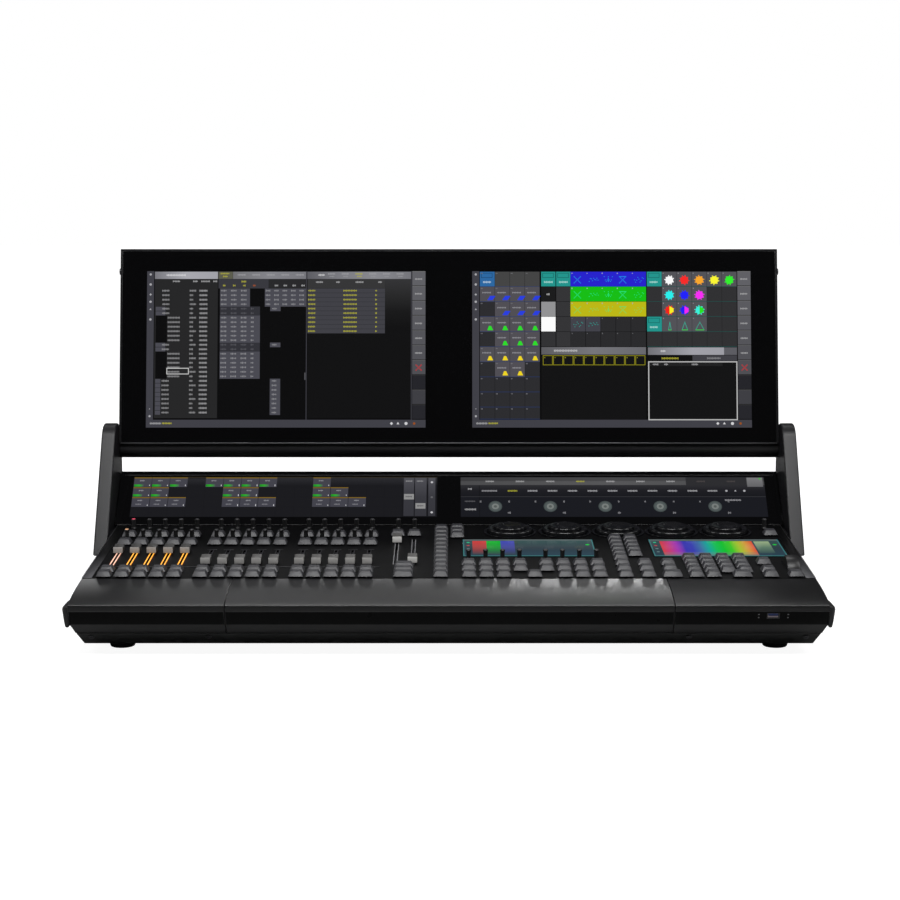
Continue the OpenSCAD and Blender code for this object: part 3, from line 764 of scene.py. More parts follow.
def makeKeyTemplate(width):
    # cap with leaning sides, a rounded rim and a dished top; its foot is at height zero
    k = keyShape
    bm = bmesh.new()
    made = bmesh.ops.create_cube(bm, size=1.0)["verts"]
    grow = width - k["foot"]
    for v in made:
        high = v.co.z > 0
        v.co.x *= (k["top"] if high else k["foot"]) + grow
        v.co.y *= k["depth"]
        if high:
            v.co.y += k["front"] if v.co.y < 0 else -k["back"]
        v.co.z = k["rise"] if high else 0
    edges = [e for e in bm.edges if max(v.co.z for v in e.verts) > k["rise"] / 2]
    bmesh.ops.bevel(bm, geom=edges, offset=k["round"], offset_type="OFFSET", segments=2,
                    affect="EDGES", profile=0.5, material=-1)
    top = max(bm.faces, key=lambda f: f.calc_center_median().z)
    bmesh.ops.inset_region(bm, faces=[top], thickness=k["rim"], depth=0.0)
    bmesh.ops.inset_region(bm, faces=[top], thickness=k["dishIn"], depth=-k["dish"])
    addBox(bm, (-k["stem"], -k["stem"], k["stemFoot"]), (k["stem"], k["stem"], 0.2 * mm))
    return templateMesh(bm, "keyTemplate")


def makeKeys(node, name):
    bm = bmesh.new()
    templates = {}
    for low, high in solidsOf(node, panel):
        width = round(high.x - low.x, 4)
        if width not in templates:
            templates[width] = makeKeyTemplate(width)
        centre = (low + high) / 2
        foot = high.z - keyShape["rise"]
        stamp(bm, templates[width], shift(panel, centre.x, centre.y, foot))
    addFaces(bm, name, "keyCap", node, [node], smooth=40)


makeKeys("executor_keys", "executorKeyCaps")
makeKeys("command_keys", "commandKeyCaps")
print("keys")


# small knobs

smallKnob = dict(radius=2.95 * mm, waist=2.5 * mm, rise=11.6 * mm, flutes=18)


def makeSmallKnobs():
    k = smallKnob
    bm = bmesh.new()
    addSpin(bm, [(0, 0), (k["radius"], 0), (k["radius"], 1.0 * mm), (k["waist"], 1.6 * mm),
                 (k["waist"], k["rise"] - 2.2 * mm), (k["radius"], k["rise"] - 1.7 * mm),
                 (k["radius"], k["rise"] - 0.5 * mm), (k["radius"] - 0.5 * mm, k["rise"]),
                 (0, k["rise"])], k["flutes"])
    addSpin(bm, [(0, -9 * mm), (1.5 * mm, -9 * mm), (1.5 * mm, 0.1 * mm), (0, 0.1 * mm)], 12)
    template = templateMesh(bm, "smallKnobTemplate")
    bm = bmesh.new()
    tops = []
    for low, high in solidsOf("small_knobs", panel):
        centre = (low + high) / 2
        foot = high.z - k["rise"]
        stamp(bm, template, shift(panel, centre.x, centre.y, foot))
        tops.append((centre.x, centre.y, high.z))
    addFaces(bm, "smallKnobs", "knobSoft", "small_knobs", ["small_knobs"], smooth=35)
    caps = {"plain": bmesh.new(), "red": bmesh.new(), "peach": bmesh.new()}
    left = sorted(tops)[:2]
    for x, y, z in tops:
        kind = "plain"
        if (x, y, z) in left:
            kind = "red" if y == max(t[1] for t in left) else "peach"
        addSpin(caps[kind], [(0, z - 0.02 * mm), (2.1 * mm, z - 0.02 * mm), (1.9 * mm, z + 0.3 * mm),
                             (0, z + 0.4 * mm)], 16, shift(panel, x, y))
    for kind, finish in (("plain", "knobTop"), ("red", "redLamp"), ("peach", "peachLamp")):
        addPiece(caps[kind], kind + "KnobTops", finish, "small_knobs")


makeSmallKnobs()
print("small knobs")


# faders

# half of the cap's outline from its front foot to its middle, along and out of the panel, in millimetres
faderCap = dict(width=11.0 * mm, round=0.5 * mm, pointer=0.35 * mm,
                outline=[(-8.5, 1.8), (-7.7, 8.8), (-6.8, 9.2), (-5.4, 9.1), (-2.6, 7.8), (-1.0, 7.2)])


def makeFaderCap(node, name, finish):
    # cap scooped across its middle, with a pointer line, on a flat lever
    f = faderCap
    low, high = solidsOf(node, panel)[0]
    x, y = (low.x + high.x) / 2, (low.y + high.y) / 2
    bm = bmesh.new()
    outline = f["outline"] + [(-a, b) for a, b in reversed(f["outline"])]
    verts = [bm.verts.new((-f["width"] / 2, a * mm, b * mm)) for a, b in outline]
    face = bm.faces.new(verts)
    pushed = bmesh.ops.extrude_face_region(bm, geom=[face])["geom"]
    bmesh.ops.translate(bm, vec=(f["width"], 0, 0),
                        verts=[v for v in pushed if isinstance(v, bmesh.types.BMVert)])
    bmesh.ops.recalc_face_normals(bm, faces=bm.faces)
    bevelSharp(bm, f["round"], 2, 40)
    for face in bm.faces:
        face.material_index = 3 if face.normal.y < -0.85 else 0
    place = shift(panel, x, y)
    bmesh.ops.transform(bm, matrix=place, verts=bm.verts)
    half, line = f["width"] / 2 - 0.6 * mm, f["pointer"]
    addBox(bm, (-half, -line, 7.0 * mm), (half, line, 7.35 * mm), place, material=1)
    addBox(bm, (-0.7 * mm, -2.5 * mm, -9 * mm), (0.7 * mm, 2.5 * mm, 3.3 * mm), place, material=2)
    front = "masterFront" if node.startswith("master") else "faderFront"
    addPiece(bm, name, [finish, "keyStem", "steel", front], node, [node], smooth=35)


faderNodes = [f"executor_fader_{i + 1}" for i in range(15)]
for i, node in enumerate(faderNodes):
    dark = i < 5
    makeFaderCap(node, f"executorCap{i + 1}", "faderGrey" if dark else "faderLight")
for i in (1, 2):
    makeFaderCap(f"master_fader_{i}", f"masterCap{i}", "faderLight")

# light pipes beside a slot, the lit ones with a painted glow spilling onto the panel round them; clear keeps
# that glow out of the slot
track = dict(offset=2.0 * mm, width=1.0 * mm, rise=0.5 * mm, edge=0.45 * mm, past=5 * mm,
             clear=1.32 * mm, over=0.8 * mm, edgeRise=0.12 * mm)


def addTracks(bm, x, low, high, edged):
    for side in (-1, 1):
        middle = x + side * track["offset"]
        half = track["width"] / 2
        addBox(bm, (middle - half, low, 0.02 * mm), (middle + half, high, track["rise"]), panel, 0.2 * mm)
        if edged:
            left, right = middle - half - track["edge"], middle + half + track["edge"]
            if side > 0:
                left = max(left, x + track["clear"])
            else:
                right = min(right, x - track["clear"])
            start, stop = low - track["over"], high + track["over"]
            # a flat glowing sheet on the panel round the pipe and past its ends: painted glow
            addBox(bm, (left, start, 0.01 * mm), (right, stop, track["edgeRise"]), panel, material=1)


def makeFaderTracks():
    # light pipes on both sides of each slot; those of the first five faders are lit
    lit = {"white": bmesh.new(), "amber": bmesh.new()}
    dim, pale, frames = bmesh.new(), bmesh.new(), bmesh.new()
    for i, node in enumerate(faderNodes + ["master_fader_1", "master_fader_2"]):
        low, high = solidsOf(node, panel)[0]
        joint = joints[("executor_slide_%d" if i < 15 else "master_slide_%d") % (i % 15 + 1)]
        x, y = (low.x + high.x) / 2, (low.y + high.y) / 2
        start = y + joint["range_m"][0] - track["past"]
        stop = y + joint["range_m"][1] + track["past"]
        target = pale if i >= 15 else dim if i >= 5 else lit["white" if i == 0 else "amber"]
        addTracks(target, x, start, stop, i < 5)
        if 5 <= i < 15:
            addBox(frames, (x - 5.6 * mm, stop + 1.0 * mm, 0), (x + 5.6 * mm, stop + 1.8 * mm, 0.6 * mm),
                   panel, 0.1 * mm)
        if i == 0:
            left = x - 16 * mm
        if i == 14:
            addBox(frames, (left, start - 3.4 * mm, 0), (x + 14 * mm, start - 2.4 * mm, 0.7 * mm),
                   panel, 0.1 * mm)
    addPiece(lit["white"], "tracksWhite", ["whiteLamp", "whiteGlowSpill"], "desk")
    addPiece(lit["amber"], "tracksAmber", ["amberLamp", "amberGlowSpill"], "desk")
    addPiece(dim, "tracksDim", "trackDim", "desk")
    addPiece(pale, "tracksPale", "printGrey", "desk")
    addPiece(frames, "faderFrameLines", "trimMetal", "desk")


makeFaderTracks()
print("faders")


# encoders and wheel

encoderShape = dict(groove=0.35 * mm, steps=144, knobSteps=96, dimple=8 * mm)


def makeEncoder(number):
    ringNode, knobNode = f"encoder_ring_{number}", f"encoder_knob_{number}"
    low, high = solidsOf(ringNode, panel)[0]
    x, y = (low.x + high.x) / 2, (low.y + high.y) / 2
    place = shift(panel, x, y)
    outer = (high.x - low.x) / 2
    e = encoderShape
    bm = bmesh.new()
    profile = [(5.06 * mm, -13 * mm), (7 * mm, -13 * mm), (7 * mm, 0.8 * mm), (outer - 1.0 * mm, 0.8 * mm),
               (outer - 0.3 * mm, 1.3 * mm), (outer - 0.5 * mm, 4.4 * mm), (outer - 1.5 * mm, 5.6 * mm),
               (outer - 2.8 * mm, 6.0 * mm), (outer - 5.6 * mm, 5.5 * mm), (19.9 * mm, 4.9 * mm),
               (19.4 * mm, 4.4 * mm), (19.4 * mm, 3.0 * mm), (5.06 * mm, 3.0 * mm), (5.06 * mm, -13 * mm)]
    addSpin(bm, profile, e["steps"], place)
    wall = outer - 0.5 * mm
    for v in bm.verts:
        flat = place.inverted() @ v.co
        around = math.atan2(flat.y, flat.x)
        radius = math.hypot(flat.x, flat.y)
        if radius > wall and 1 * mm < flat.z < 4.6 * mm and round(around / math.tau * e["steps"]) % 2:
            shrink = 1 - e["groove"] / radius
            v.co = place @ Vector((flat.x * shrink, flat.y * shrink, flat.z))
    addPiece(bm, f"encoderRing{number}", "encoderGloss", ringNode, [ringNode], smooth=45)
    bm = bmesh.new()
    profile = [(0, -15 * mm), (5 * mm, -15 * mm), (5 * mm, 3.4 * mm), (18.6 * mm, 3.4 * mm),
               (19 * mm, 3.8 * mm), (18.9 * mm, 7.4 * mm), (18.2 * mm, 8.5 * mm), (17.0 * mm, 9.0 * mm),
               (14.5 * mm, 8.8 * mm), (9 * mm, 8.0 * mm), (4 * mm, 7.6 * mm), (0, 7.5 * mm)]
    addSpin(bm, profile, e["knobSteps"], place)
    addSpin(bm, [(0, 7.9 * mm), (1.3 * mm, 7.9 * mm), (0.9 * mm, 8.5 * mm), (0, 8.6 * mm)], 16,
            shift(place, -e["dimple"], e["dimple"]), material=1)
    addPiece(bm, f"encoderKnob{number}", ["encoderGloss", "knobSoft"], knobNode, [knobNode],
             smooth=45)


for number in range(1, 6):
    makeEncoder(number)


wheelShape = dict(half=7 * mm, pin=2 * mm, shaft=11 * mm, edge=0.9 * mm, groove=0.45 * mm, steps=96)


def makeWheel():
    w = wheelShape
    low, high = solidsOf("level_wheel", panel)[0]
    centre = (low + high) / 2
    radius = (high.y - low.y) / 2
    half, pin, shaft = w["half"], w["pin"], w["shaft"]
    place = shift(panel, centre.x, centre.y, centre.z) @ Matrix.Rotation(math.pi / 2, 4, "Y")
    bm = bmesh.new()
    side = radius - w["edge"]
    profile = [(pin, -half), (side, -half), (radius, -half + 1.2 * mm), (radius, half - 1.2 * mm),
               (side, half), (pin, half), (pin, -half)]
    addSpin(bm, profile, w["steps"], place)
    for v in bm.verts:
        flat = place.inverted() @ v.co
        turn = round(math.atan2(flat.y, flat.x) / math.tau * w["steps"])
        if math.hypot(flat.x, flat.y) > side + 0.1 * mm and turn % 2:
            flat.x *= 1 - w["groove"] / radius
            flat.y *= 1 - w["groove"] / radius
            v.co = place @ flat
    addSpin(bm, [(0, -shaft), (pin, -shaft), (pin, shaft), (0, shaft)], 24, place, material=1)
    addPiece(bm, "levelWheel", ["knobSoft", "steel"], "level_wheel", ["level_wheel"], smooth=40)


makeWheel()
print("encoders")


# pictures on the displays

def toLinear(rgb):
    return [((c / 255 + 0.055) / 1.055) ** 2.4 if c > 10 else c / 255 / 12.92 for c in rgb] + [1.0]


pictureSet = dict(lift=0.06 * mm, layer=0.012 * mm, width=344.7, height=194.0)


class Picture:
    # flat lit shapes in millimetres from the top left corner of a display

    def __init__(self, place, width, height):
        self.bm = bmesh.new()
        self.tint = self.bm.loops.layers.float_color.new("tint")
        self.place = place @ Matrix.Translation((-width * mm / 2, height * mm, pictureSet["lift"]))

    def paint(self, verts, colours):
        for face in {f for v in verts for f in v.link_faces}:
            for loop, colour in zip(face.loops, colours * len(face.loops)):
                loop[self.tint] = toLinear(colour)

    def cell(self, x, y, w, h, colour, layer=1):
        flat = Matrix.Translation((x * mm + w * mm / 2, -y * mm - h * mm / 2, layer * pictureSet["layer"]))
        place = self.place @ flat @ Matrix.Diagonal((w * mm, h * mm, 1, 1))
        made = bmesh.ops.create_grid(self.bm, x_segments=1, y_segments=1, size=0.5, matrix=place)["verts"]
        self.paint(made, [colour])
        return made

    def fade(self, x, y, w, h, colours, layer=1, across=True):
        # strip whose colour runs through a list
        parts = len(colours) - 1
        for i in range(parts):
            if across:
                made = self.cell(x + w * i / parts, y, w / parts, h, colours[i], layer)
            else:
                made = self.cell(x, y + h * i / parts, w, h / parts, colours[i], layer)
            face = made[0].link_faces[0]
            middle = face.calc_center_median()
            axis = self.place.col[0].xyz if across else -self.place.col[1].xyz
            for loop in face.loops:
                late = (loop.vert.co - middle).dot(axis) > 0
                loop[self.tint] = toLinear(colours[i + 1 if late else i])

    def words(self, x, y, w, h, colour, layer=3, letters=1.1):
        # a greeked word: a row of short bars, so that nothing can be read
        count = max(1, int(w / letters))
        for i in range(count):
            tall = h * (0.62 + 0.38 * ((i * 7 + int(x * 3) + int(y)) % 3) / 2)
            self.cell(x + i * w / count, y + (h - tall) / 2, w / count * 0.62, tall, colour, layer)

    def frame(self, x, y, w, h, line, colour, layer=2):
        self.cell(x, y, w, line, colour, layer)
        self.cell(x, y + h - line, w, line, colour, layer)
        self.cell(x, y, line, h, colour, layer)
        self.cell(x + w - line, y, line, h, colour, layer)

    def disc(self, x, y, radius, colour, layer=3, sides=20, squash=1.0, wobble=0.0):
        flat = Matrix.Translation((x * mm, -y * mm, layer * pictureSet["layer"]))
        made = bmesh.ops.create_circle(self.bm, cap_ends=True, segments=sides, radius=radius * mm,
                                       matrix=self.place @ flat @ Matrix.Diagonal((1, squash, 1, 1)))["verts"]
        middle = (self.place @ flat).translation
        for i, v in enumerate(made):
            v.co = middle + (v.co - middle) * (1 + wobble * math.sin(i * 2.4 + x))
        self.paint(made, [colour])

    def done(self, name, body, finish="screen"):
        addFaces(self.bm, name, finish, body, smooth=0)


grey = dict(row=(38, 38, 39), cell=(74, 74, 82), dim=(50, 50, 56), bar=(64, 64, 71),
            text=(170, 170, 172), black=(10, 10, 11))
yellow = (176, 172, 52)


def sideColumns(p, w, h):
    # tool strip on the left, button column on the right and status bar below
    p.cell(0, 0, w, h, (9, 9, 10), 0)
    p.cell(0, 0, 8.6, h, grey["bar"])
    for i, y in enumerate((4, 16.5, 29, 38, 47.5, 60, 171, 180)):
        p.disc(4.4, y, 1.5 if i != 6 else 0.9, (168, 168, 172), sides=(6, 12, 4, 16, 3, 12, 3, 5)[i])
    right, pitch = w - 16.5, 18.4
    for i in range(10):
        shade = 96 - 3 * i if i < 7 else (36, 62, 38)[i - 7]
        p.cell(right, i * pitch, 16.3, 17.7, (shade, shade, shade + 5))
        p.cell(right, i * pitch, 16.3, 0.5, (shade + 26,) * 3, 2)
        if i < 6:
            p.words(right + 3.5, i * pitch + 8.6, 9, 2.2, grey["text"])
    for turn in (-1, 1):
        for step in range(-3, 4):
            p.cell(right + 7.2 + step * 1.05, 6 * pitch + 8.6 + turn * step * 1.05, 1.6, 1.6, (178, 52, 56))
    p.cell(0, h - 9.6, w, 9.6, grey["bar"], 2)
    p.words(5, h - 6.4, 14, 2.6, grey["text"], 4)
    p.words(20, h - 6.4, 12, 2.4, yellow, 4)
    for i, x in enumerate((w - 42, w - 34, w - 24)):
        p.disc(x, h - 5, 2.0, (205, 205, 208), 4, sides=(4, 3, 8)[i])
    p.disc(w - 14, h - 5, 1.6, (150, 78, 30), 4, sides=8)


def makeTablePicture(place, w, h):
    p = Picture(place, w, h)
    sideColumns(p, w, h)
    pitch, top, rows = 5.6, 21.6, 28
    # sheet of names on the left
    p.fade(9.6, 0.6, 78, 9, [(118, 118, 124), (168, 168, 175), (160, 160, 167)], 2)
    p.words(24, 3.6, 24, 2.6, (215, 215, 218))
    p.cell(9.6, 9.8, 78, 172.6, grey["row"])
    for x, wide in ((32, 9), (57, 6), (67, 11), (82, 5)):
        p.words(x, 11.5, wide, 2.2, grey["text"])
    p.cell(88.4, 0.6, 17.6, 9, (92, 92, 78), 2)
    p.words(91, 1.8, 11, 2.2, yellow)
    p.words(94, 5.4, 6, 2.2, yellow)
    p.fade(106.3, 0.6, 90.5, 9, [(112, 112, 116), (132, 132, 138), (118, 118, 124)], 2)
    for i in range(5):
        p.words(112 + 18 * i, 3.4, 10, 2.2, (158, 158, 162))
    p.cell(88.4, 9.8, 62, 11.6, (56, 56, 62))
    p.cell(150.6, 9.8, 46.2, 11.6, (40, 40, 42))
    p.words(117, 11.6, 6, 2.6, yellow)
    for i in range(4):
        p.words(94 + 12.4 * i, 16.6, 3.4, 2.4, yellow if i < 3 else (168, 84, 40))
        p.words(158 + 11 * i, 16.6, 4.5, 2.4, grey["text"])
    for r in range(rows):
        y = top + pitch * r
        nested = 6 <= r <= 11 or 14 <= r <= 19
        if nested:
            p.cell(11, y, 14, pitch, grey["black"], 2)
        elif r in (4, 5, 12, 13) or r >= 20:
            p.cell(11, y + 0.3, 6.5 if r >= 20 else 12, pitch - 0.6, grey["cell"], 2)
        p.words(26 if nested else 19, y + 1.4, 15 if nested else 9, 2.5, (146, 146, 148))
        p.words(53, y + 1.4, 4.4 if r % 3 else 8, 2.5, (150, 150, 152))
        p.words(65, y + 1.4, 10, 2.6, (166, 166, 168))
        filled = r < 4 or nested
        if filled or r in (4, 5, 12, 13):
            wide = 37 if r < 4 else 49.5
            p.cell(90.4, y, wide, pitch + 0.05, grey["cell"] if filled else grey["dim"], 2)
            for c in range(3 if r < 4 else 4):
                p.words(91.5 + 12.4 * c, y + 1.5, 7.4 if c < 3 else 4, 2.3,
                        (140, 140, 144) if filled else (84, 84, 90), letters=1.5)
        if r < 4:
            p.cell(145.8, y, 51, pitch + 0.05, grey["cell"], 2)
            for c in range(5):
                p.words(147 + 10.4 * c, y + 1.5, 6, 2.3, (140, 140, 144), letters=1.5)
        if r in (4, 12) or r >= 20:
            p.cell(152.5, y, 12.8, pitch + 0.05, grey["cell"], 2)
            p.words(155, y + 1.5, 6, 2.3, (140, 140, 144), letters=1.5)
    p.cell(88.4, 21.4, 108.4, 161, grey["black"], 1)
    p.frame(24.8, top + pitch * 17.6, 27.6, 8, 0.9, (208, 208, 208), 4)
    p.cell(195, 126, 1.6, 9, (78, 78, 82), 3)
    # second sheet
    p.cell(196.9, 0, 0.9, h - 9.6, grey["bar"], 3)
    p.fade(198.2, 0.6, 128.6, 9, [(92, 92, 98), (124, 124, 130), (136, 136, 142), (116, 116, 122)], 2)
    p.words(212, 3.4, 8, 2.6, (208, 208, 210))
    for i in range(6):
        lit = i == 2
        p.words(224 + 17 * i, 2.2, 9, 2.2, yellow if lit else (158, 158, 162))
        p.words(226 + 17 * i, 5.6, 6, 1.8, yellow if lit else (148, 148, 152))
    p.cell(198.2, 9.8, 128.6, 172.6, (16, 16, 17))
    p.fade(294.5, 9.8, 32.3, 60, [(52, 52, 54), (40, 40, 41), (24, 24, 25), (16, 16, 17)], 2, across=False)
    p.cell(198.6, 9.8, 95.8, 11.4, (54, 54, 55), 2)
    for x, wide in ((209, 9), (234, 5), (258, 10), (286, 5)):
        p.words(x, 12.4, wide, 2.3, grey["text"])
    for r in range(10):
        y = 21.5 + pitch * r
        p.cell(198.6, y, 95.8, pitch - 0.25, (64, 64, 70), 2)
        p.words(199.5, y + 1.5, 9, 2.3, yellow)
        p.words(243, y + 1.5, 17, 2.3, yellow)
        p.words(282.5, y + 1.5, 2.4, 2.3, yellow)
    p.cell(326.6, 0, 0.9, h - 9.6, grey["bar"], 3)
    p.done("pictureSheets", "monitor_wing")


def addBlob(p, x, y, size, colour, second=None):
    p.disc(x, y, size * 0.86, colour, 4, sides=14)
    for i in range(16):
        turn = i * 0.71 + x
        reach = size * (0.72 + 0.3 * abs(math.sin(i * 2.3 + x)))
        p.cell(x + reach * math.cos(turn) - 0.6, y + reach * math.sin(turn) - 0.6, 1.2, 1.2, colour, 4)
    if second:
        for i in range(5):
            p.cell(x + size * 0.02 + i * size * 0.17, y - size * (0.82 - 0.1 * i), size * 0.2,
                   size * (1.64 - 0.2 * i), second, 5)


def addScribble(p, x, y, colour, kind):
    # small effect mark made of little squares
    for i in range(9):
        t = i / 8
        if kind == 0:
            points = [(t * 8, t * 8), (t * 8, 8 - t * 8)]
        elif kind == 1:
            points = [(t * 11, 6 - 4 * abs(math.sin(t * 9)))]
        elif kind == 2:
            points = [(t * 10, abs(math.sin(t * 6.3)) * 6), (5, 2 + t * 4)]
        elif kind == 3:
            points = [(t * 8, t * 8), (8 - t * 8, t * 8), (t * 8, 0)]
        else:
            points = [(t * 11, 4 + 3 * math.sin(t * 12))]
        for a, b in points:
            p.cell(x + a, y + b, 1.0, 1.0, colour, 4)


def makePoolPicture(place, w, h):
    p = Picture(place, w, h)
    sideColumns(p, w, h)
    pitchX, pitchY = 18.55, 18.7
    blue, green, gold = (40, 62, 225), (44, 222, 40), (240, 214, 32)
    # preset pool
    for r in range(10):
        for c in range(4):
            x, y = 9.5 + pitchX * c, 0.6 + pitchY * r
            used = (1 <= r <= 6) and not (r in (2, 4, 6) and c == 0) and not (r == 6 and c == 3)
            shade = (80, 78, 84) if used else (68, 68, 68) if r == 0 else (44, 44, 47)
            if r == 0 and c == 0:
                shade = (44, 104, 162)
                p.words(x + 4, y + 11.6, 10, 2.6, (190, 210, 226))
                p.frame(x + 1.5, y + 1.6, 14, 6, 0.6, (28, 62, 100), 3)
            tall = 14.4 if r == 9 else pitchY - 0.5
            p.cell(x, y, pitchX - 0.35, tall, shade)
            p.cell(x, y + tall, pitchX - 0.35, 0.5, (34, 56, 104), 2)
            p.words(x + 1.2, y + 1.4, 2.4, 1.4, (120, 120, 126))
            if used:
                colour = (blue, green, gold)[(r - 1) // 2]
                p.words(x + 3, y + 6.4, 11, 1.9, (150, 150, 156))
                for i in range(5):
                    lean, taper = (i * 0.75, 0) if r < 3 else (i * 0.4, i * 0.9)
                    p.cell(x + 9.4 + lean, y + 15.6 - i * 1.05, 6.6 - taper, 1.1, colour, 4)
    # narrow masters and colour columns
    p.cell(84.2, 0, 1.0, h - 9.6, (8, 8, 9), 3)
    for r, shade in enumerate(((34, 148, 140), (26, 26, 27), (146, 146, 148), (252, 252, 252), (50, 50, 52))):
        p.cell(85.4, 0.6 + pitchY * r, 17.6, pitchY - 0.5, shade, 2)
        p.cell(104, 0.6 + pitchY * r, 17.4, pitchY - 0.5, shade if r == 0 else (52, 52, 54), 2)
    for x in (85.4, 104):
        p.words(x + 3.5, 12.2, 11, 2.6, (176, 222, 216))
        p.frame(x + 1.5, 2.2, 14, 6, 0.6, (22, 92, 88), 3)
    p.words(92, 27.4, 4, 2.6, (190, 190, 190))
    bands = ((38, 34, 204), (22, 190, 20), (188, 184, 20))
    marks = ((32, 132, 232), (40, 226, 120), (110, 216, 90))
    for r in range(5):
        for c in range(5):
            x, y = 121.6 + 18.7 * c, 0.6 + pitchY * r
            shade = bands[r] if r < 3 else (66, 66, 74) if r == 3 and c < 2 else (42, 42, 44)
            p.cell(x, y, 18.7 if r < 3 else 18.2, pitchY - 0.4, shade, 2)
            p.words(x + 1.4, y + 1.2, 1.6, 1.6, (170, 170, 176) if r < 3 else (104, 104, 108))
            if r < 3:
                addScribble(p, x + 4, y + 5.6, marks[r], c)
            elif r == 3 and c < 2:
                addScribble(p, x + 3.5, y + 5, (40, 150, 140), 4 - c * 3)
    # colour pool
    colours = [((252, 252, 252),), ((250, 42, 40),), ((250, 168, 44),), ((250, 246, 50),), ((50, 240, 44),)]
    second = [((40, 240, 236),), ((34, 34, 248),), ((248, 44, 246),)]
    third = [((244, 34, 26), (250, 240, 36)), ((32, 32, 244), (246, 40, 240)),
             ((60, 240, 220), (40, 226, 30))]
    for r in range(5):
        for c in range(6):
            x, y = 216.2 + pitchX * c, 0.6 + pitchY * r
            used = c > 0 and (r == 0 or (r < 4 and c < 4))
            shade = (34, 148, 140) if c == 0 and r in (0, 3) else (82, 82, 87) if used else (48, 48, 50)
            p.cell(x, y, pitchX - 0.3, pitchY - 0.5, shade, 2)
            p.cell(x, y + pitchY - 0.6, pitchX - 0.3, 0.5, (32, 84, 80), 3)
            if c == 0 and r in (0, 3):
                p.words(x + 3.5, y + 11.6, 10, 2.6, (176, 222, 216))
                p.frame(x + 1.5, y + 1.6, 14, 6, 0.6, (22, 92, 88), 3)
            elif used:
                p.words(x + 1.2, y + 1.2, 1.6, 1.4, (150, 150, 154))
                pick = (colours, second, third, None)[r]
                if pick and c - 1 < len(pick):
                    addBlob(p, x + 9.2, y + 10.4, 5.6, *pick[c - 1])
                elif r == 3:
                    size = 1.6 + 1.7 * (c - 1)
                    for i in range(7):
                        p.cell(x + 9.2 - size * i / 6, y + 6 + i * 1.5, 0.7, 1.5, (52, 172, 150), 4)
                        p.cell(x + 9.2 + size * i / 6, y + 6 + i * 1.5, 0.7, 1.5, (52, 172, 150), 4)
                    p.cell(x + 9.2 - size, y + 15.8, size * 2 + 0.7, 1.0, (52, 200, 70), 4)
    # sheet with a row of outlined boxes
    p.fade(85.4, 94.4, 129.2, 9.2, [(92, 92, 96), (118, 118, 123), (104, 104, 109)], 3)
    p.words(101, 97.4, 29, 2.8, (196, 196, 198), 4)
    p.cell(85.4, 103.6, 129.2, 80.6, (17, 17, 18), 2)
    for i in range(10):
        p.frame(87.2 + 12.7 * i, 104.6, 12.2, 12.2, 0.75, (142, 138, 26), 3)
        p.words(89 + 12.7 * i, 106.6, 1.8, 1.5, (142, 138, 26))
    # sheet in a light frame
    p.fade(217, 94.8, 110, 9.2, [(112, 112, 118), (160, 160, 168), (156, 156, 164)], 3)
    p.words(233, 98, 6, 2.6, (214, 214, 216), 4)
    p.cell(311, 94.8, 16, 9.2, (92, 92, 98), 4)
    p.cell(218, 104.6, 53.6, 6.8, (14, 14, 15), 3)
    p.words(234, 107, 21, 2.6, yellow, 4)
    p.cell(272, 104.6, 55, 6.8, (64, 64, 70), 3)
    p.words(290, 107, 17, 2.4, (140, 140, 144), 4)
    p.cell(218, 112.4, 109, 72, (18, 18, 19), 3)
    p.frame(217.2, 112, 110.2, 73, 1.3, (186, 186, 186), 5)
    p.cell(219, 114, 90, 3.8, (32, 32, 33), 4)
    for x, wide in ((223, 7), (237, 5), (271, 8)):
        p.words(x, 114.6, wide, 2.4, (164, 164, 166), 5)
    p.done("picturePools", "monitor_wing")


def makeExecutorPicture(place, w, h):
    p = Picture(place, w, h)
    p.cell(0, 0, w, h, (22, 22, 26), 0)
    p.cell(0, 0, w, 0.6, (60, 50, 24), 1)
    column, row = 22.1, h / 4
    p.fade(0, 0.6, w, 12, [(46, 46, 50), (38, 38, 42), (26, 26, 30)], 1, across=False)
    used = {0: (0, 1, 2, 4, 5, 6, 7, 10), 1: (0, 1, 5, 6, 10, 11), 2: (0, 1, 2, 5, 6, 7, 10, 11, 12)}
    for r in range(4):
        for c in range(15):
            x, y = 0.6 + column * c, 0.6 + row * r
            filled = c in used.get(r, ())
            shade = (66, 66, 75) if filled else (25, 25, 29)
            p.cell(x, y, column - 0.6, row - 0.5, shade, 2 if filled or r else 1)
            if not filled:
                continue
            p.cell(x, y, column - 0.6, 1.4, (124, 96, 30), 3)
            p.words(x + 7, y + 4, 6, 2.0, (150, 150, 156), 4)
            p.words(x + column - 3.2, y + row - 4.4, 1.4, 2.8, (206, 206, 210), 4)
            if r < 2:
                p.fade(x + 0.4, y + row - 4.4, 11.5, 3.2, [(22, 142, 26), (46, 168, 44), (74, 84, 84)], 4)
            else:
                p.words(x + 5, y + row - 5.4, 7, 1.9, (134, 134, 140), 4)
    left = 333.6
    for x, wide in ((0, 12.6), (13.8, 14.2), (30.2, 8.6)):
        p.fade(left + x, 1.2, wide, h - 2.4, [(78, 78, 84), (56, 56, 62), (52, 52, 58)], 3, across=False)
    for x, y in ((0.4, 26), (14.6, 40)):
        p.cell(left + x, y, 12.2, 8.4, (142, 142, 142), 4)
        p.words(left + x + 2, y + 3, 8, 2.2, (70, 70, 74), 5)
    for x in (2.5, 16):
        p.words(left + x, 5, 8, 2.4, (150, 150, 152), 4)
    for i in range(3):
        p.disc(left + 34.5, 8 + 23 * i, 1.6, (190, 190, 194) if i != 1 else (96, 96, 100), 4, sides=8)
    p.done("pictureExecutors", "desk")


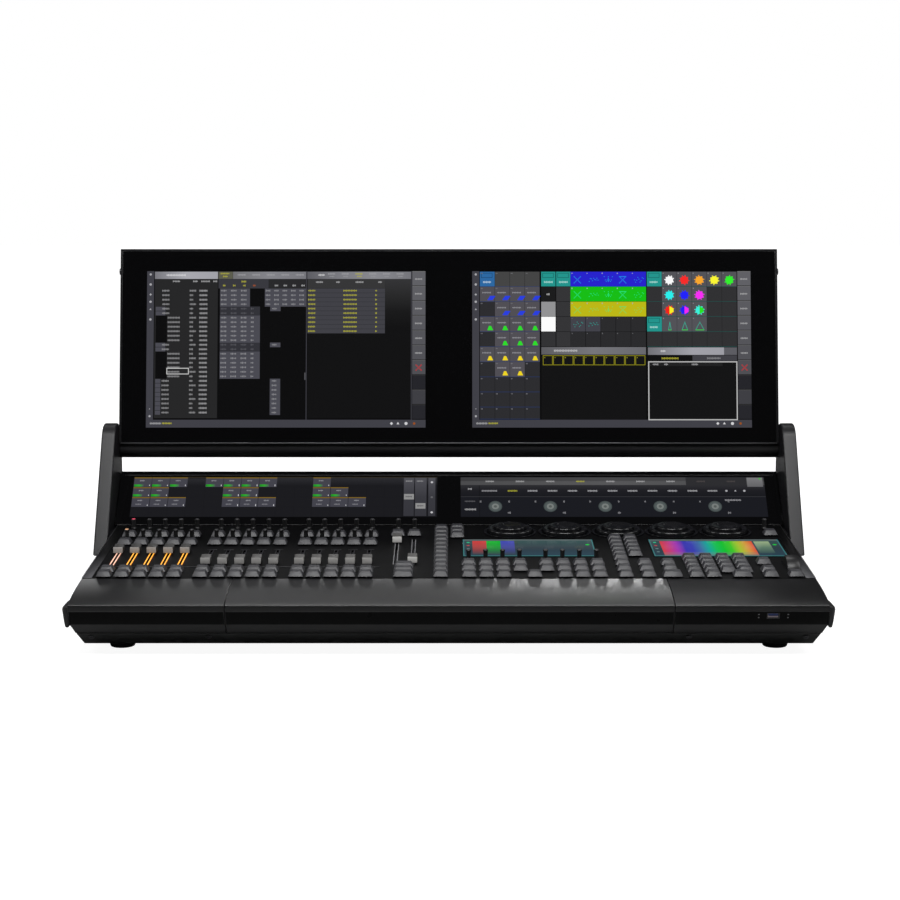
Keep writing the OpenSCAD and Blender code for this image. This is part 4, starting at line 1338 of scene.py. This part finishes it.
def makeEncoderPicture(place, w, h):
    p = Picture(place, w, h)
    p.cell(0, 0, w, h, (24, 25, 31), 0)
    p.fade(0, 0.4, w, 6, [(58, 58, 60), (70, 70, 72), (62, 62, 64)], 1)
    p.fade(0, 6, w, 6.4, [(74, 74, 76), (86, 86, 88), (72, 72, 74)], 1)
    p.fade(0, 12.2, w, 17.6, [(44, 44, 48), (28, 28, 33), (22, 23, 28)], 1, across=False)
    p.cell(278, 0.4, 75, 12, (44, 44, 47), 2)
    for i in range(9):
        shade = yellow if i == 3 else (172, 172, 174) if i < 7 else (78, 72, 72)
        p.words(31 + 37.2 * i, 5.4, 10.5, 2.6, shade)
    p.words(26, 19.8, 19, 2.8, (150, 150, 154))
    for i in range(11):
        p.words(58 + 24.6 * i, 19.8, 12, 2.8, (170, 170, 174) if i else yellow)
    for i in range(3):
        p.disc(327 + 11 * i, 21.2, 1.6, (170, 170, 174), 4, sides=(6, 3, 8)[i])
    p.words(324, 34, 20, 2.8, (150, 150, 154))
    p.cell(0, 29.8, w, 0.7, (56, 56, 60), 2)
    p.cell(22.6, 12.4, 0.6, h - 12.6, (14, 14, 17), 2)
    p.words(9, 17, 5, 2.6, grey["text"])
    p.words(5, 36, 13, 2.4, (92, 92, 96))
    p.words(5, 48, 14, 3.0, grey["text"])
    for i in range(5):
        x = 42.4 + 67.2 * i
        p.disc(x, 45, 8.3, (66, 74, 74), 3, sides=32)
        p.disc(x, 45, 7.0, (80, 88, 88), 4, sides=32)
        p.disc(x, 45, 4.4, (118, 124, 122), 5, sides=28)
        p.disc(x, 45, 1.9, (84, 90, 88), 6, sides=20)
        for a, b in ((-19, 36), (16, 36), (15, 53)):
            p.words(x + a, b, 4 if b > 40 else 2.2, 3.2, (132, 132, 136))
    p.fade(353.4, 1.0, 19.4, 14, [(122, 122, 124), (98, 98, 101)], 3, across=False)
    p.disc(369.5, 2.6, 1.3, (60, 190, 50), 4, sides=8)
    p.done("pictureEncoders", "desk")


def makeCommandPicture(place, w, h, rainbow, name):
    p = Picture(place, w, h)
    teal, pale = (58, 116, 118), (98, 128, 128)
    p.cell(0, 0, w, h, (44, 66, 70), 0)
    p.cell(0, 0, w, 5, (92, 104, 104), 2)
    p.fade(0, 5, w, h - 8, [(54, 78, 80), (46, 60, 68), (40, 64, 78)], 1, across=False)
    p.cell(0, h - 3, w, 3, teal, 2)
    p.cell(0, 0, 1.4, h, teal, 3)
    p.cell(w - 1.4, 0, 1.4, h, teal, 3)
    if rainbow:
        wheel = [(205, 62, 66), (190, 58, 120), (158, 54, 172), (58, 54, 172), (56, 62, 172), (62, 106, 160),
                 (22, 160, 150), (18, 186, 84), (14, 188, 46), (60, 194, 40), (160, 190, 50), (206, 150, 60),
                 (214, 74, 54)]
        p.fade(12, 8, 108, h - 26, wheel, 3)
        p.fade(12, h - 18, 108, 9, [tuple(int(c * 0.7 + 40) for c in one) for one in wheel], 3)
        p.fade(12, h - 9, 108, 6, [tuple(int(c * 0.35 + 76) for c in one) for one in wheel], 3)
        p.fade(122, 9, 18, h - 22, [(150, 172, 132), (96, 124, 104), (52, 78, 80)], 3, across=False)
    else:
        for i, colour in enumerate(((204, 64, 62), (14, 178, 46), (66, 74, 178))):
            lower = tuple(int(c * 0.7 + 20) for c in colour)
            p.fade(11 + 16.4 * i, 7, 16.2, h - 14, [colour, lower, (50, 66, 76)], 3, across=False)
        for i in range(5):
            p.fade(64 + 17 * i, 7, 15.6, h - 14, [(58, 84, 84), (46, 60, 68), (42, 66, 80)], 3, across=False)
    for i in range(4):
        p.disc(6, 14 + 14 * i, 2.0, ((24, 190, 130), (190, 60, 70), pale, pale)[i], 4, sides=8)
    p.disc(w - 7, 24, 2.6, (30, 200, 60), 4, sides=8)
    p.done(name, "desk", "commandScreen")


displayDepth = 8 * mm      # the displays' solids are thinner than this


def makePictures():
    panels = solidsOf("monitor_displays", wing)
    w, h = pictureSet["width"], pictureSet["height"]
    for (low, high), make in zip(panels, (makeTablePicture, makePoolPicture)):
        middle = (low + high) / 2
        make(shift(wing, middle.x, middle.y - h * mm / 2), w, h)
    strip = [b for b in solidsOf("panel_displays", letterbox) if b[1].z - b[0].z < displayDepth]
    for (low, high), make in zip(strip, (makeExecutorPicture, makeEncoderPicture)):
        wide, tall = (high.x - low.x) / mm - 0.4, (high.y - low.y) / mm - 0.4
        make(shift(letterbox, (low.x + high.x) / 2, low.y + 0.2 * mm), wide, tall)
    boxes = [b for b in solidsOf("panel_displays", panel) if b[1].z - b[0].z < displayDepth]
    for i, (low, high) in enumerate(boxes):
        wide, tall = (high.x - low.x) / mm - 1.0, (high.y - low.y) / mm - 1.0
        place = shift(panel, (low.x + high.x) / 2, low.y + 0.5 * mm, high.z)
        makeCommandPicture(place, wide, tall, i == 1, ("pictureFades", "pictureRainbow")[i])


makePictures()
print("pictures")


aimLights()
